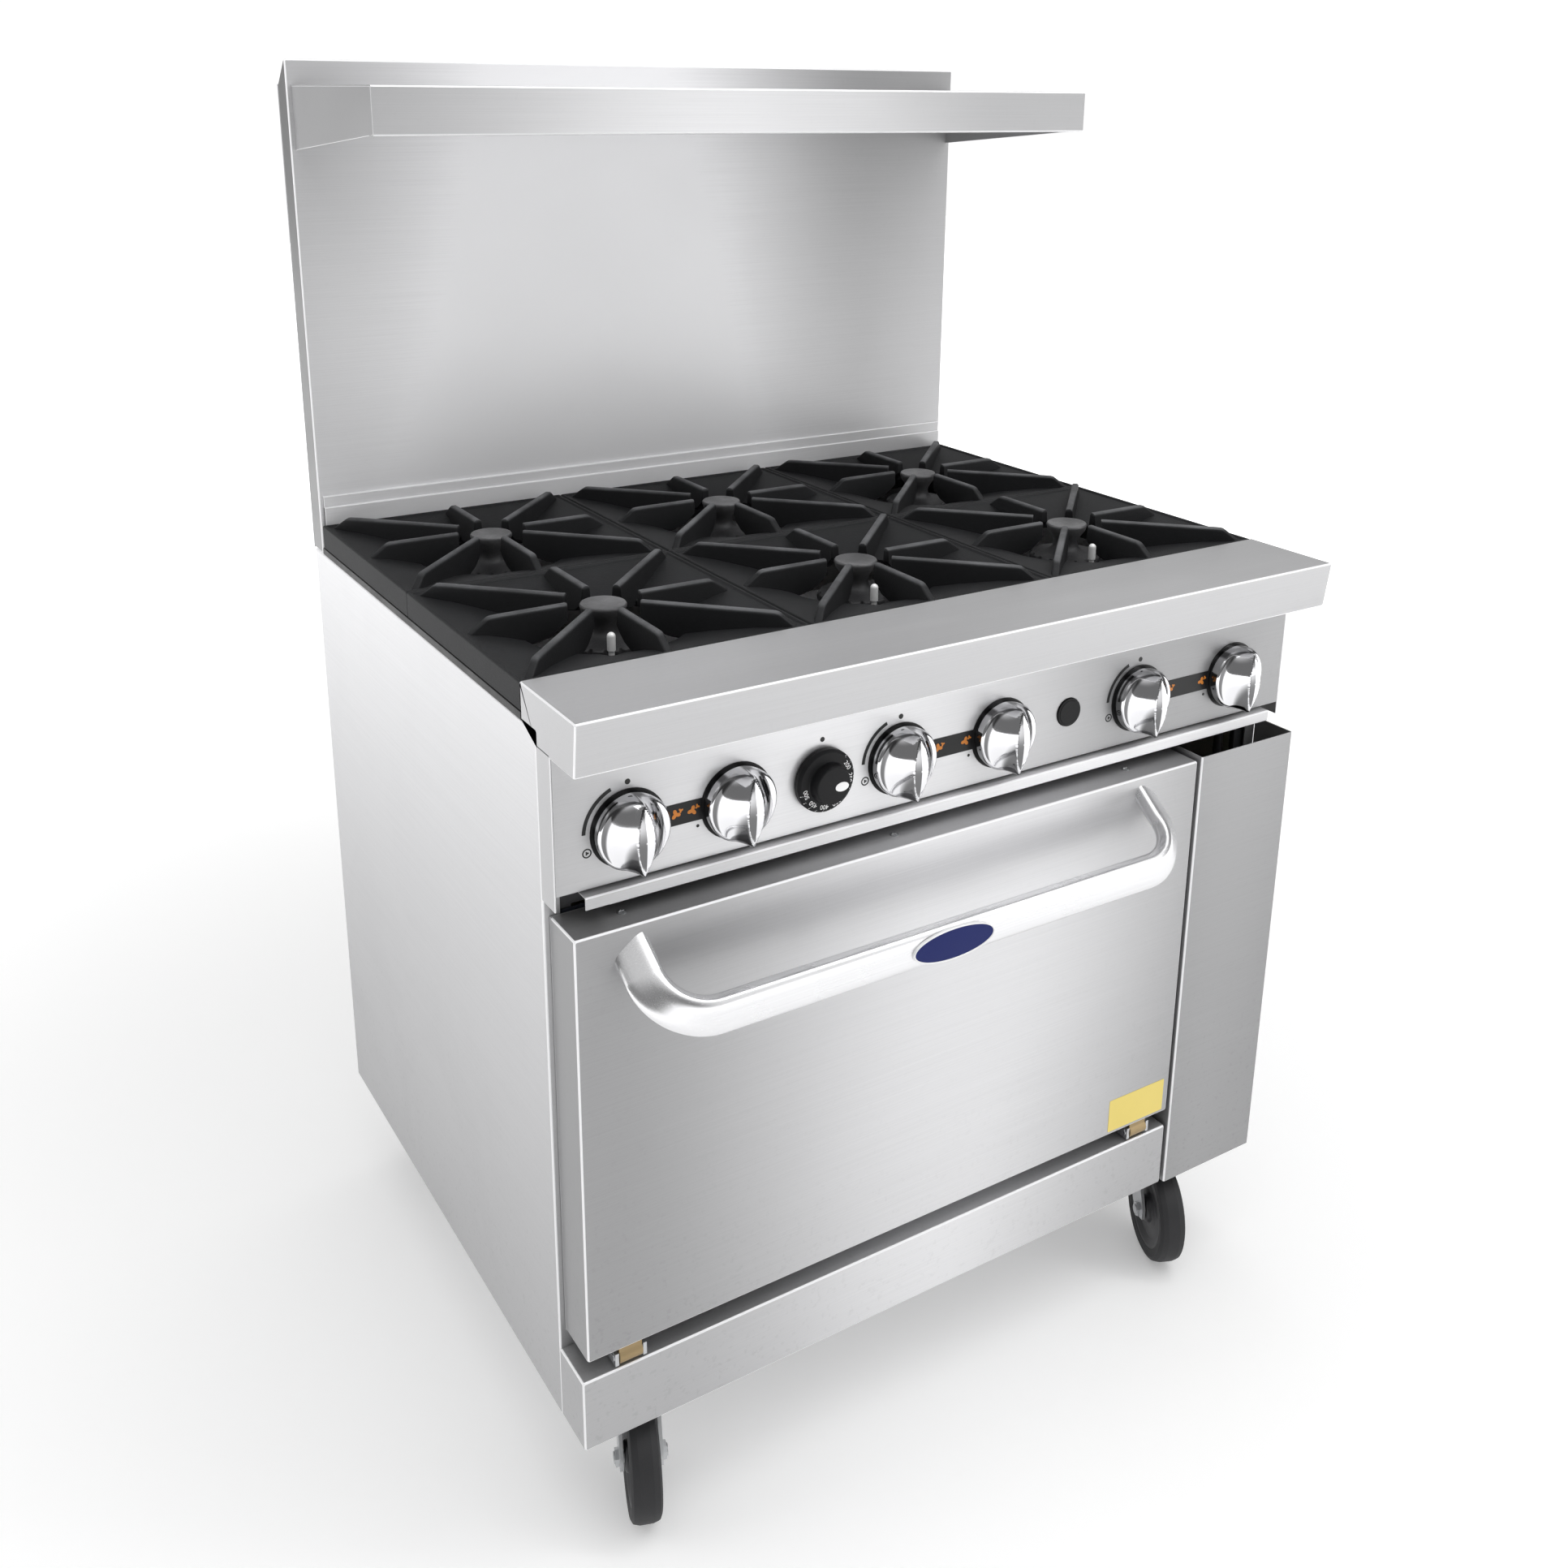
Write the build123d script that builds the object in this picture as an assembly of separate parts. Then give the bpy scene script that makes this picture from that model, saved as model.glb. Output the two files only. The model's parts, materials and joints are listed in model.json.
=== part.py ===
"""Commercial six-burner gas range with one oven, a crumb tray, a backguard with a high shelf, and casters.

Millimetres, +Z up, +X to the right of someone facing the range, +Y to the back. The row's origin is on the
floor, under the middle of the range's outline. All helpers below take y as the depth behind the front
edge of the ledge, and save() moves each solid from there to the row frame.
"""
import math
import os

from build123d import *

# ---- overall ----
WIDTH = 914.4                 # 36 in, the standard width of this class
HALF = WIDTH / 2
SHEET = 1.5                   # folded stainless sheet
GAP = 0.3                     # air between faces of different bodies
Z_BASE = 142.8                # underside of the body, top of the caster plates
Z_SIDE_TOP = 877.0            # top of the side panels
Z_LEDGE = 914.0               # front ledge
Z_GUARD = 1439.0              # front top edge of the backguard

# ---- depths behind the ledge's front edge ----
Y_HANDLE = -44.5              # front of the handle badge, the frontmost point
Y_DOOR = 31.0                 # door front face
Y_DOOR_BACK = 83.0
Y_SIDE = 84.0                 # front edge of the side panels
Y_PANEL = 55.5                # control panel face
Y_LEDGE_BACK = 115.8
Y_GUARD = 720.0               # backguard front face
Y_BACK = 751.0                # back of the body
Y_GUARD_BACK = 754.8
Y_INLET = 776.0               # end of the gas inlet, the rearmost point
DATUM_Y = -(Y_HANDLE + Y_INLET) / 2

# ---- door and oven ----
DOOR_X = (-451.0, 306.9)
DOOR_Z = (245.4, 698.3)
CAVITY_X = (-408.0, 264.0)
CAVITY_Y = (88.5, 698.0)
CAVITY_Z = (292.0, 642.0)
RUNNER_Z = (345, 395, 445, 495, 545)
OVEN_BURNER_X = -72.0
HINGE_Y, HINGE_Z = 38.0, 234.0
HINGE_X = (-405.0, 262.0)
PIN_R = 4.0
RUNNING = 0.05                # radial clearance of a running fit

# ---- control panel ----
PANEL_Z = (731.0, 861.6)
KNOB_Z = 781.0
KNOB_X = (-384.0, -273.0, -87.5, 40.0, 230.5, 373.0)
DIAL_X = -179.0
BUTTON_X, BUTTON_Z = 131.0, 785.0
STEM_R = 4.0

KNOB_BACK = Y_PANEL - 1.3
KNOB_R, KNOB_LENGTH = 36.0, 36.0
BUTTON_R = 15.5

# ---- handle ----
HANDLE_X = (-392.0, 228.0)
HANDLE_Y, HANDLE_Z = -32.5, 626.0
HANDLE_SECTION = (9.0, 18.5)   # half depth and half height of the flattened tube
HANDLE_CORNER = 6.0            # radius of the tube's corners
HANDLE_ROOT_Z = 671.0
HANDLE_BEND = 54.0

# ---- shelf, tray, gas pipe ----
SHELF_X, SHELF_Y, SHELF_Z = 451.5, 441.2, 1411.5
TRAY_X, LIP_X = 404.0, 432.0
TRAY_Z = (706.0, 727.0)
MANIFOLD_Y, MANIFOLD_Z, MANIFOLD_R = 84.0, 752.5, 10.6
INLET_X, INLET_R = 385.0, 12.2

# ---- cooktop ----
COLUMN_X = (-304.8, 0.0, 304.8)
ROW_Y = (266.0, 564.6)
GRATE_SIZE = (303.4, 297.6)
GRATE_Z = (885.3, 925.0)
GRATE_RIM_Z = 914.0
GRATE_HOLE_R = 85.0
FINGER_W = 11.0
PILOT_OFFSET = (-28.0, -76.0)  # pilot tip from its burner's centre

# ---- casters ----
WHEEL_R, WHEEL_W = 63.5, 32.0  # 5 in wheels
TRAIL = 42.0
CASTER_X = 364.0
CASTERS = {                    # name: swivel axis x, y, and the heading of the wheel from it, in degrees
    "front_left": (-CASTER_X, 111.0, -110.0),
    "front_right": (CASTER_X, 108.0, -114.0),
    "rear_left": (-CASTER_X, 662.0, 84.0),
    "rear_right": (CASTER_X, 662.0, 97.0),
}


def box(x0, x1, y0, y1, z0, z1):
    """A box between two corners."""
    return Pos((x0 + x1) / 2, (y0 + y1) / 2, (z0 + z1) / 2) * Box(x1 - x0, y1 - y0, z1 - z0)


def rod(start, end, r):
    """A round bar between two points."""
    a, b = Vector(*start), Vector(*end)
    return Plane(origin=(a + b) / 2, z_dir=b - a) * Cylinder(r, (b - a).length)


def prism_x(outline, x0, x1):
    """A (depth, z) outline carried from x0 to x1."""
    return extrude(Plane.YZ * Pos(0, 0, x0) * Polygon(*outline, align=None), x1 - x0, dir=(1, 0, 0))


def prism_y(outline, y0, y1):
    """An (x, z) outline carried from depth y0 to y1."""
    return extrude(Plane.XZ * Pos(0, 0, -y0) * Polygon(*outline, align=None), y1 - y0, dir=(0, 1, 0))


def turned_z(profile):
    """A closed (radius, z) outline turned about the Z axis."""
    return revolve(Plane.XZ * Polygon(*profile, align=None), Axis.Z)


def mirrored(solid):
    """The solid and its mirror image across the middle of the range."""
    return [solid, mirror(solid, Plane.YZ)]


def save(name, *solids):
    """Writes one node, moved from depths to the row frame."""
    placed = []
    for item in solids:
        placed += (Pos(0, DATUM_Y, 0) * item).solids()
    shape = placed[0] if len(placed) == 1 else Compound(children=placed)
    export_step(shape, f"parts/{name}.step")


os.makedirs("parts", exist_ok=True)


# ======================================================================== body shells
def side_panel():
    """Right-hand side sheet with its edges folded inwards."""
    inner = HALF - 17
    sheet = box(HALF - SHEET, HALF, Y_SIDE, Y_BACK, Z_BASE, Z_SIDE_TOP)
    sheet += box(inner, HALF, Y_SIDE, Y_SIDE + SHEET, Z_BASE, Z_SIDE_TOP)
    sheet += box(inner, HALF, Y_BACK - SHEET, Y_BACK, Z_BASE, Z_SIDE_TOP)
    sheet += box(inner, HALF, Y_SIDE, Y_BACK, Z_BASE, Z_BASE + SHEET)
    return sheet


def back_panel():
    """Rear cover with louvre slots and a hole for the gas inlet."""
    edge = HALF - SHEET - 0.3
    panel = box(-edge, edge, Y_BACK - 3.2, Y_BACK - SHEET - 0.1, Z_BASE + 2, Z_SIDE_TOP - 2)
    for x in (-250, 0, 250):
        for z in range(230, 331, 20):
            panel -= box(x - 60, x + 60, Y_BACK - 5, Y_BACK, z, z + 6)
    return panel - rod((INLET_X, Y_BACK - 8, MANIFOLD_Z), (INLET_X, Y_BACK + 5, MANIFOLD_Z), 20)


def bottom_panel():
    edge = HALF - 17.5
    return box(-edge, edge, Y_SIDE + 2, Y_BACK - 3.5, Z_BASE, Z_BASE + SHEET)


def chassis_frame():
    """Steel angles: a base ring, four corner posts, top rails, and the two rails that carry the tray."""
    reach = HALF - SHEET - 0.3
    leg, thick = 28.0, 3.0
    y0, y1 = Y_SIDE + 4.5, Y_BACK - 5
    low, top = Z_BASE + SHEET + 0.2, Z_SIDE_TOP - 2
    frame = box(-reach, reach, y0, y0 + thick, low, low + leg)
    frame += box(-reach, reach, y1 - thick, y1, low, low + leg)
    frame += box(-reach, reach, y1 - thick, y1, top - leg, top)
    for s in (-1, 1):
        x0, x1 = sorted((s * (reach - thick), s * reach))
        frame += box(x0, x1, y0, y1, low, low + leg)
        frame += box(x0, x1, y0, y1, top - leg, top)
        a0, a1 = sorted((s * (reach - leg), s * reach))
        frame += box(a0, a1, y0, y1, low, low + thick)
        for y in (y0, y1 - thick):
            frame += box(a0, a1, y, y + thick, low, top)
        frame += box(x0, x1, y0, y0 + leg, low, top)
        frame += box(x0, x1, y1 - leg, y1, low, top)
        r0, r1 = sorted((s * (TRAY_X + 1.5), s * (TRAY_X + 4)))
        f0, f1 = sorted((s * (TRAY_X - 9), s * (TRAY_X + 4)))
        frame += box(r0, r1, y0, y1, TRAY_Z[0] - 3.5, TRAY_Z[0] + 20)
        frame += box(f0, f1, y0, y1, TRAY_Z[0] - 3.5, TRAY_Z[0] - 1)
        b0, b1 = sorted((s * (TRAY_X + 1.5), s * reach))
        for y in (y0, y1 - thick):
            frame += box(b0, b1, y, y + thick, TRAY_Z[0] - 3.5, TRAY_Z[0] + 20)
    return frame


def kick_plate():
    """Lower front plate under the door, folded back to the body at its ends, top and bottom."""
    x0, x1, y0, z0, z1 = -HALF + 0.2, DOOR_X[1] + 0.1, Y_DOOR + 0.4, Z_BASE, 223.7
    outer = box(x0, x1, y0, Y_SIDE - 0.1, z0, z1)
    inner = box(x0 + SHEET, x1 - SHEET, y0 + SHEET, Y_SIDE + 5, z0 + SHEET, z1 - SHEET)
    opening = box(x0 + 12, x1 - 12, y0 + 12, Y_SIDE + 5, z0 - 5, z0 + 5)
    return outer - inner - opening


def filler_panel():
    """Narrow front column at the right of the door, open at its top and back."""
    x0, x1, y0, z0, z1 = 311.0, HALF, 28.8, Z_BASE, 702.3
    outer = box(x0, x1, y0, Y_SIDE - 0.1, z0, z1)
    return outer - box(x0 + SHEET, x1 - SHEET, y0 + SHEET, Y_SIDE + 5, z0 + SHEET, z1 + 5)


def front_ledge():
    """Ledge in front of the grates; each end cheek runs on down beside the control panel."""
    lip, low = Z_LEDGE - 51.5, Z_SIDE_TOP + 0.4
    cheek = [(0, Z_LEDGE), (Y_LEDGE_BACK, Z_LEDGE), (Y_LEDGE_BACK, low), (Y_SIDE - 0.1, low),
             (Y_SIDE - 0.1, 716.0), (Y_PANEL, 716.0), (Y_PANEL, lip), (6, lip)]
    ledge = prism_x(cheek, -HALF, -HALF + SHEET) + prism_x(cheek, HALF - SHEET, HALF)
    ledge += box(-HALF, HALF, 0, Y_LEDGE_BACK, Z_LEDGE - SHEET, Z_LEDGE)
    ledge += prism_x([(0, Z_LEDGE), (SHEET, Z_LEDGE), (6 + SHEET, lip), (6, lip)], -HALF, HALF)
    ledge += box(-HALF, HALF, 6, Y_PANEL + 12, lip, lip + SHEET)
    ledge += box(-HALF, HALF, Y_LEDGE_BACK - SHEET, Y_LEDGE_BACK, low, Z_LEDGE)
    return ledge


def control_panel():
    """Upright panel with a hole for each stem, the dial and the button."""
    reach = HALF - SHEET - 0.2
    z0, z1 = PANEL_Z
    panel = box(-reach, reach, Y_PANEL, Y_PANEL + SHEET, z0, z1)
    panel += box(-reach, reach, Y_PANEL, Y_PANEL + 18, z0, z0 + SHEET)
    for x in KNOB_X + (DIAL_X,):
        panel -= rod((x, 40, KNOB_Z), (x, 70, KNOB_Z), STEM_R + 2)
    return panel - rod((BUTTON_X, 40, BUTTON_Z), (BUTTON_X, 70, BUTTON_Z), BUTTON_R + 0.5)


def knob_plate(left, right):
    """Black plate behind one pair of knobs: two discs joined by a bar."""
    y0, y1 = Y_PANEL - 0.8, Y_PANEL
    plate = rod((left, y0, KNOB_Z), (left, y1, KNOB_Z), KNOB_R + 2)
    plate += rod((right, y0, KNOB_Z), (right, y1, KNOB_Z), KNOB_R + 2)
    plate += box(left, right, y0, y1, KNOB_Z - 10, KNOB_Z + 11)
    for x in (left, right):
        plate -= rod((x, 40, KNOB_Z), (x, 70, KNOB_Z), STEM_R + 2)
    return plate


def top_frame():
    """Frame that the grates rest on: a rim, two long bars between the columns and one cross bar."""
    z0, z1 = Z_SIDE_TOP + 0.2, GRATE_Z[0] - GAP
    y0, y1 = Y_LEDGE_BACK + 0.4, Y_GUARD - 2
    mid = (ROW_Y[0] + ROW_Y[1]) / 2
    frame = box(-HALF, HALF, y0, y1, z0, z1)
    frame -= box(-HALF + 14, HALF - 14, Y_LEDGE_BACK + 12, y1 - 10, z0 - 5, z1 + 5)
    for x in (-WIDTH / 6, WIDTH / 6):
        frame += box(x - 6, x + 6, y0, y1, z0 - 20, z1)
    return frame + box(-HALF + 5, HALF - 5, mid - 6, mid + 6, z0, z1)


def backguard_front():
    """Backguard skin with its sides and sloping top, and a stepped foot behind the grates."""
    back = Y_GUARD_BACK - 1.8
    z0, drop = Z_SIDE_TOP + 0.4, 25.0
    outline = [(Y_GUARD, z0), (back, z0), (back, Z_GUARD - drop), (Y_GUARD, Z_GUARD)]
    inside = [(Y_GUARD + SHEET, z0 - 5), (back + 5, z0 - 5), (back + 5, Z_GUARD - drop - 6),
              (Y_GUARD + SHEET, Z_GUARD - 3)]
    skin = prism_x(outline, -HALF, HALF) - prism_x(inside, -HALF + SHEET, HALF - SHEET)
    reach = HALF - 5
    skin += box(-reach, reach, Y_GUARD - 3.4, Y_GUARD, GRATE_Z[0], 947)
    skin += box(-reach, reach, Y_GUARD - 6.0, Y_GUARD, GRATE_Z[0], 934)
    return skin


def backguard_rear():
    """Rear sheet of the backguard, with a row of flue slots near its top."""
    sheet = box(-HALF, HALF, Y_GUARD_BACK - SHEET, Y_GUARD_BACK, Z_SIDE_TOP + 0.4, Z_GUARD - 27)
    for i in range(12):
        x = -330 + 60 * i
        for z in (1290, 1320, 1350):
            sheet -= box(x - 20, x + 20, Y_GUARD_BACK - 5, Y_GUARD_BACK + 5, z, z + 8)
    return sheet


def high_shelf():
    """Shelf sheet with a deep front fascia and a small return along its lower edge."""
    low = SHELF_Z - 47.8
    shelf = box(-SHELF_X, SHELF_X, SHELF_Y, Y_GUARD, SHELF_Z - SHEET, SHELF_Z)
    shelf += box(-SHELF_X, SHELF_X, SHELF_Y, SHELF_Y + SHEET, low, SHELF_Z)
    return shelf + box(-SHELF_X, SHELF_X, SHELF_Y, SHELF_Y + 14, low, low + SHEET)


def shelf_end_plate():
    """Right-hand end plate that carries the shelf: deeper at the backguard than at the fascia."""
    top, front = SHELF_Z - SHEET, SHELF_Y + SHEET
    low = SHELF_Z - 47.8
    outline = [(front + 13, low), (Y_GUARD, 1342), (Y_GUARD, top), (front, top), (front, low + SHEET),
               (front + 13, low + SHEET)]
    return prism_x(outline, SHELF_X - SHEET, SHELF_X)


save("side_panels", *mirrored(side_panel()))
save("back_panel", back_panel())
save("bottom_panel", bottom_panel())
save("chassis_frame", chassis_frame())
save("kick_plate", kick_plate())
save("filler_panel", filler_panel())
save("front_ledge", front_ledge())
save("control_panel", control_panel())
save("knob_plates", *[knob_plate(*KNOB_X[i:i + 2]) for i in (0, 2, 4)])
save("top_frame", top_frame())
save("backguard_front", backguard_front())
save("backguard_rear", backguard_rear())
save("high_shelf", high_shelf())
save("shelf_end_plates", *mirrored(shelf_end_plate()))


# ======================================================================== oven
def shell_box(x, y, z, wall):
    """A box of sheet round a space, open at the front."""
    outer = box(x[0] - wall, x[1] + wall, y[0], y[1] + wall, z[0] - wall, z[1] + wall)
    return outer - box(x[0], x[1], y[0] - 5, y[1], z[0], z[1])


def oven_liner():
    """Enamelled cavity, with a hole in its floor for the heat and slots at the back top for the flue."""
    liner = shell_box(CAVITY_X, CAVITY_Y, CAVITY_Z, 1.2)
    middle = sum(CAVITY_X) / 2
    liner -= box(middle - 270, middle + 270, 150, 640, CAVITY_Z[0] - 5, CAVITY_Z[0] + 0.1)
    for i in range(6):
        x = middle - 125 + 50 * i
        liner -= box(x - 15, x + 15, CAVITY_Y[1] - 1, CAVITY_Y[1] + 5, 615, 625)
    return liner


def oven_insulation():
    """Mineral wool round the liner's two sides, top and back."""
    x, y = (CAVITY_X[0] - 1.5, CAVITY_X[1] + 1.5), (122.0, CAVITY_Y[1] + 1.5)
    z = (CAVITY_Z[0], CAVITY_Z[1] + 1.5)
    outer = box(x[0] - 38, x[1] + 38, y[0], y[1] + 14, z[0], z[1] + 42)
    return outer - box(x[0], x[1], y[0] - 5, y[1], z[0] - 5, z[1])


def oven_front_frame():
    """Flat frame round the oven's mouth."""
    outer = box(-438.0, DOOR_X[1] + 2, Y_SIDE + 2, Y_SIDE + 4, 226.0, 700.0)
    return outer - box(*CAVITY_X, Y_SIDE - 5, Y_SIDE + 9, *CAVITY_Z)


def door_gasket():
    """Woven seal round the oven's mouth, which the door closes on."""
    near, far = 6.0, 16.0
    ring = []
    for m in (far, near):
        ring.append(box(CAVITY_X[0] - m, CAVITY_X[1] + m, Y_DOOR_BACK + GAP, Y_SIDE + 2,
                        CAVITY_Z[0] - m, CAVITY_Z[1] + m))
    return ring[0] - ring[1]


def oven_floor_plate():
    """Lift-out floor with slots along both sides that let the heat up."""
    x0, x1 = CAVITY_X[0] + 12, CAVITY_X[1] - 12
    plate = box(x0, x1, 96, 690, CAVITY_Z[0], CAVITY_Z[0] + 2)
    for i in range(9):
        for x in (x0 + 30, x1 - 30):
            y = 140 + 60 * i
            plate -= box(x - 8, x + 8, y, y + 40, CAVITY_Z[0] - 5, CAVITY_Z[0] + 5)
    return plate


def rack_guide():
    """Ladder of runners on the left wall of the oven."""
    wall = CAVITY_X[0]
    guide = box(wall, wall + 4, 130, 136, 320, 570)
    for y in (390, 650):
        guide += box(wall, wall + 4, y, y + 6, 320, 570)
    for z in RUNNER_Z:
        guide += box(wall, wall + 18, 130, 656, z, z + 4)
    return guide


def oven_rack():
    """Wire shelf that rests on the middle pair of runners."""
    x0, x1, y0, y1, z = CAVITY_X[0] + 8, CAVITY_X[1] - 8, 110.0, 670.0, RUNNER_Z[2] + 8.2
    corners = [(x0, y0, z), (x1, y0, z), (x1, y1, z), (x0, y1, z)]
    rack = rod(corners[3], corners[0], 4)
    for a, b in zip(corners, corners[1:]):
        rack += rod(a, b, 4)
    for corner in corners:
        rack += Pos(*corner) * Sphere(4)
    count = 17
    for i in range(1, count):
        x = x0 + (x1 - x0) * i / count
        rack += box(x - 1.8, x + 1.8, y0, y1, z - 1.8, z + 1.8)
    return rack


def oven_burner():
    """Tube burner under the oven floor, fed from its front end."""
    z = 258.0
    burner = rod((OVEN_BURNER_X, 150, z), (OVEN_BURNER_X, 620, z), 21)
    burner += rod((OVEN_BURNER_X, 132, z), (OVEN_BURNER_X, 150, z), 25)
    burner -= rod((OVEN_BURNER_X, 120, z), (OVEN_BURNER_X, 142, z), 18)
    for y in (200, 560):
        burner += box(OVEN_BURNER_X - 6, OVEN_BURNER_X + 6, y, y + 12, Z_BASE + 4, z)
    return burner


mirror_x = Plane(origin=(sum(CAVITY_X) / 2, 0, 0), z_dir=(1, 0, 0))
save("oven_liner", oven_liner())
save("oven_insulation", oven_insulation())
save("oven_front_frame", oven_front_frame())
save("door_gasket", door_gasket())
save("oven_floor_plate", oven_floor_plate())
save("rack_guides", rack_guide(), mirror(rack_guide(), mirror_x))
save("oven_rack", oven_rack())
save("oven_burner", oven_burner())


# ======================================================================== gas train and burners
def gas_manifold():
    """Gas pipe: the bar behind the panel, and a run along the right side to the inlet at the back."""
    y, z, r = MANIFOLD_Y, MANIFOLD_Z, MANIFOLD_R
    pipe = rod((-425, y, z), (405, y, z), r)
    pipe += box(INLET_X - 13, INLET_X + 13, y - 13, y + 13, z - 13, z + 10.8)
    pipe += rod((INLET_X, y, z), (INLET_X, Y_INLET, z), r)
    pipe += rod((INLET_X, Y_BACK + 2, z), (INLET_X, Y_INLET, z), 15)
    return pipe - rod((INLET_X, Y_INLET - 20, z), (INLET_X, Y_INLET + 5, z), INLET_R)


def oven_gas_line():
    """Thin tube from the manifold's end down the right side and across to the oven burner."""
    x, y, low, high = 418.0, 104.0, 215.0, 258.0
    route = [(x, y, MANIFOLD_Z), (x, y, low), (OVEN_BURNER_X, y, low), (OVEN_BURNER_X, y, high),
             (OVEN_BURNER_X, 131, high)]
    line = rod((405.2, MANIFOLD_Y, MANIFOLD_Z), (x, MANIFOLD_Y, MANIFOLD_Z), 5)
    line += Pos(x, MANIFOLD_Y, MANIFOLD_Z) * Sphere(6.5)
    line += rod((x, MANIFOLD_Y, MANIFOLD_Z), route[0], 5)
    for a, b in zip(route, route[1:]):
        line += Pos(*a) * Sphere(6.5) + rod(a, b, 5)
    return line


def burner_valve(x):
    """Valve body on the manifold: a block, a nipple below it and an orifice hood behind it."""
    top = MANIFOLD_Z + MANIFOLD_R
    valve = box(x - 12, x + 12, 60, 98, top + 0.9, KNOB_Z + 15)
    valve += rod((x, 98, KNOB_Z), (x, 108, KNOB_Z), 6)
    return valve - rod((x, 50, KNOB_Z), (x, 73, KNOB_Z), STEM_R + RUNNING)


def thermostat():
    """Oven thermostat block behind the dial."""
    block = box(DIAL_X - 26, DIAL_X + 26, 60, 100, MANIFOLD_Z + MANIFOLD_R + 0.9, KNOB_Z + 32)
    return block - rod((DIAL_X, 50, KNOB_Z), (DIAL_X, 73, KNOB_Z), STEM_R + RUNNING)


def safety_valve():
    """Oven safety valve that the push button works."""
    block = box(BUTTON_X - 17, BUTTON_X + 17, 76, 106, MANIFOLD_Z + MANIFOLD_R + 0.9, BUTTON_Z + 20)
    return block


def burner_base(x, y, valve_x):
    """Cast venturi from the air bell behind a valve to the riser that the burner head sits on."""
    low = 812.0
    start, bend, turn = (valve_x, 118, KNOB_Z), (valve_x, y - 70, low), (x, y, low + 12)
    base = rod((valve_x, 112, KNOB_Z), start, 19) + rod(start, bend, 13) + Pos(*bend) * Sphere(13)
    base += rod(bend, turn, 13) + Pos(*turn) * Sphere(13)
    return base + rod(turn, (x, y, 868), 15) + rod((x, y, 864), (x, y, 871.5), 34)


def burner_head(x, y):
    """Lift-off cast head: a ported ring, a neck and a flared cap."""
    profile = [(0, 871.8), (40, 871.8), (42, 876), (40, 882), (22, 884), (14, 889), (14, 898), (21, 909),
               (24, 917), (23, 919), (0, 919)]
    head = turned_z(profile)
    for i in range(16):
        a = 2 * math.pi * i / 16
        c, s = math.cos(a), math.sin(a)
        head -= rod((34 * c, 34 * s, 877), (46 * c, 46 * s, 877), 2)
    return Pos(x, y, 0) * head


def pilot(x):
    """Standing pilot: a thin tube from the manifold level up to a tip beside the front burner."""
    px, py = x + PILOT_OFFSET[0], ROW_Y[0] + PILOT_OFFSET[1]
    tube = rod((px, 112, 840), (px, py, 840), 3) + Pos(px, py, 840) * Sphere(3)
    tube += rod((px, 112, 764), (px, 112, 840), 3) + Pos(px, 112, 840) * Sphere(3)
    tube += rod((px, py, 840), (px, py, 902), 3) + rod((px, py, 897), (px, py, 911), 4.2)
    return tube + Pos(px, py, 911) * Sphere(4.2)


feeds = {}                     # each burner's valve: the front one takes the knob nearer its own column
for column, pair in zip(COLUMN_X, ((1, 0), (3, 2), (5, 4))):
    for row, knob in zip(ROW_Y, pair):
        feeds[(column, row)] = KNOB_X[knob]
save("gas_manifold", gas_manifold(), oven_gas_line())
save("gas_valves", *[burner_valve(x) for x in KNOB_X], thermostat(), safety_valve())
save("burner_venturis", *[burner_base(x, y, valve) for (x, y), valve in feeds.items()])
save("burner_heads", *[burner_head(x, y) for x, y in feeds])
save("burner_pilots", *[pilot(x) for x in COLUMN_X])


# ======================================================================== hinges, casters, fasteners
def hinge_bracket(x):
    """Two ears on the oven's front frame and the pin between them."""
    bracket = rod((x - 18, HINGE_Y, HINGE_Z), (x + 18, HINGE_Y, HINGE_Z), PIN_R)
    for s in (-1, 1):
        bracket += box(x + s * 15 - 2, x + s * 15 + 2, HINGE_Y - 6, Y_SIDE + 2, HINGE_Z - 7, HINGE_Z + 7)
    return bracket + box(x - 17, x + 17, Y_SIDE - 1, Y_SIDE + 2, HINGE_Z - 7, HINGE_Z + 7)


def caster_plate(x, y):
    """Top plate of a caster with its four bolt holes, and the swivel race under it."""
    plate = box(x - 47, x + 47, y - 34, y + 34, Z_BASE - 4, Z_BASE - 0.1)
    plate += Pos(x, y, Z_BASE - 6.7) * Cylinder(30, 5.4)
    for dx in (-36, 36):
        for dy in (-25, 25):
            plate -= Pos(x + dx, y + dy, Z_BASE) * Cylinder(4.5, 20)
    return plate


def caster_bolts(x, y):
    bolts = []
    for dx in (-36, 36):
        for dy in (-25, 25):
            at = Pos(x + dx, y + dy, 0)
            head = at * extrude(Pos(0, 0, Z_BASE - 9) * RegularPolygon(7, 6), 5)
            bolts.append(head + at * Pos(0, 0, Z_BASE - 2.3) * Cylinder(4.2, 4.4))
    return bolts


def back_screws():
    """Pan-head screws round the rear cover."""
    screws = []
    for x in (-430, 0, 430):
        for z in (200, 520, 850):
            screws.append(rod((x, Y_BACK - 1.6, z), (x, Y_BACK + 0.6, z), 4.5))
    return screws


def heading(x, y, degrees):
    """Frame at a swivel axis, with its local +X along the wheel's trail."""
    return Pos(x, y, 0) * Rot(0, 0, degrees)


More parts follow.
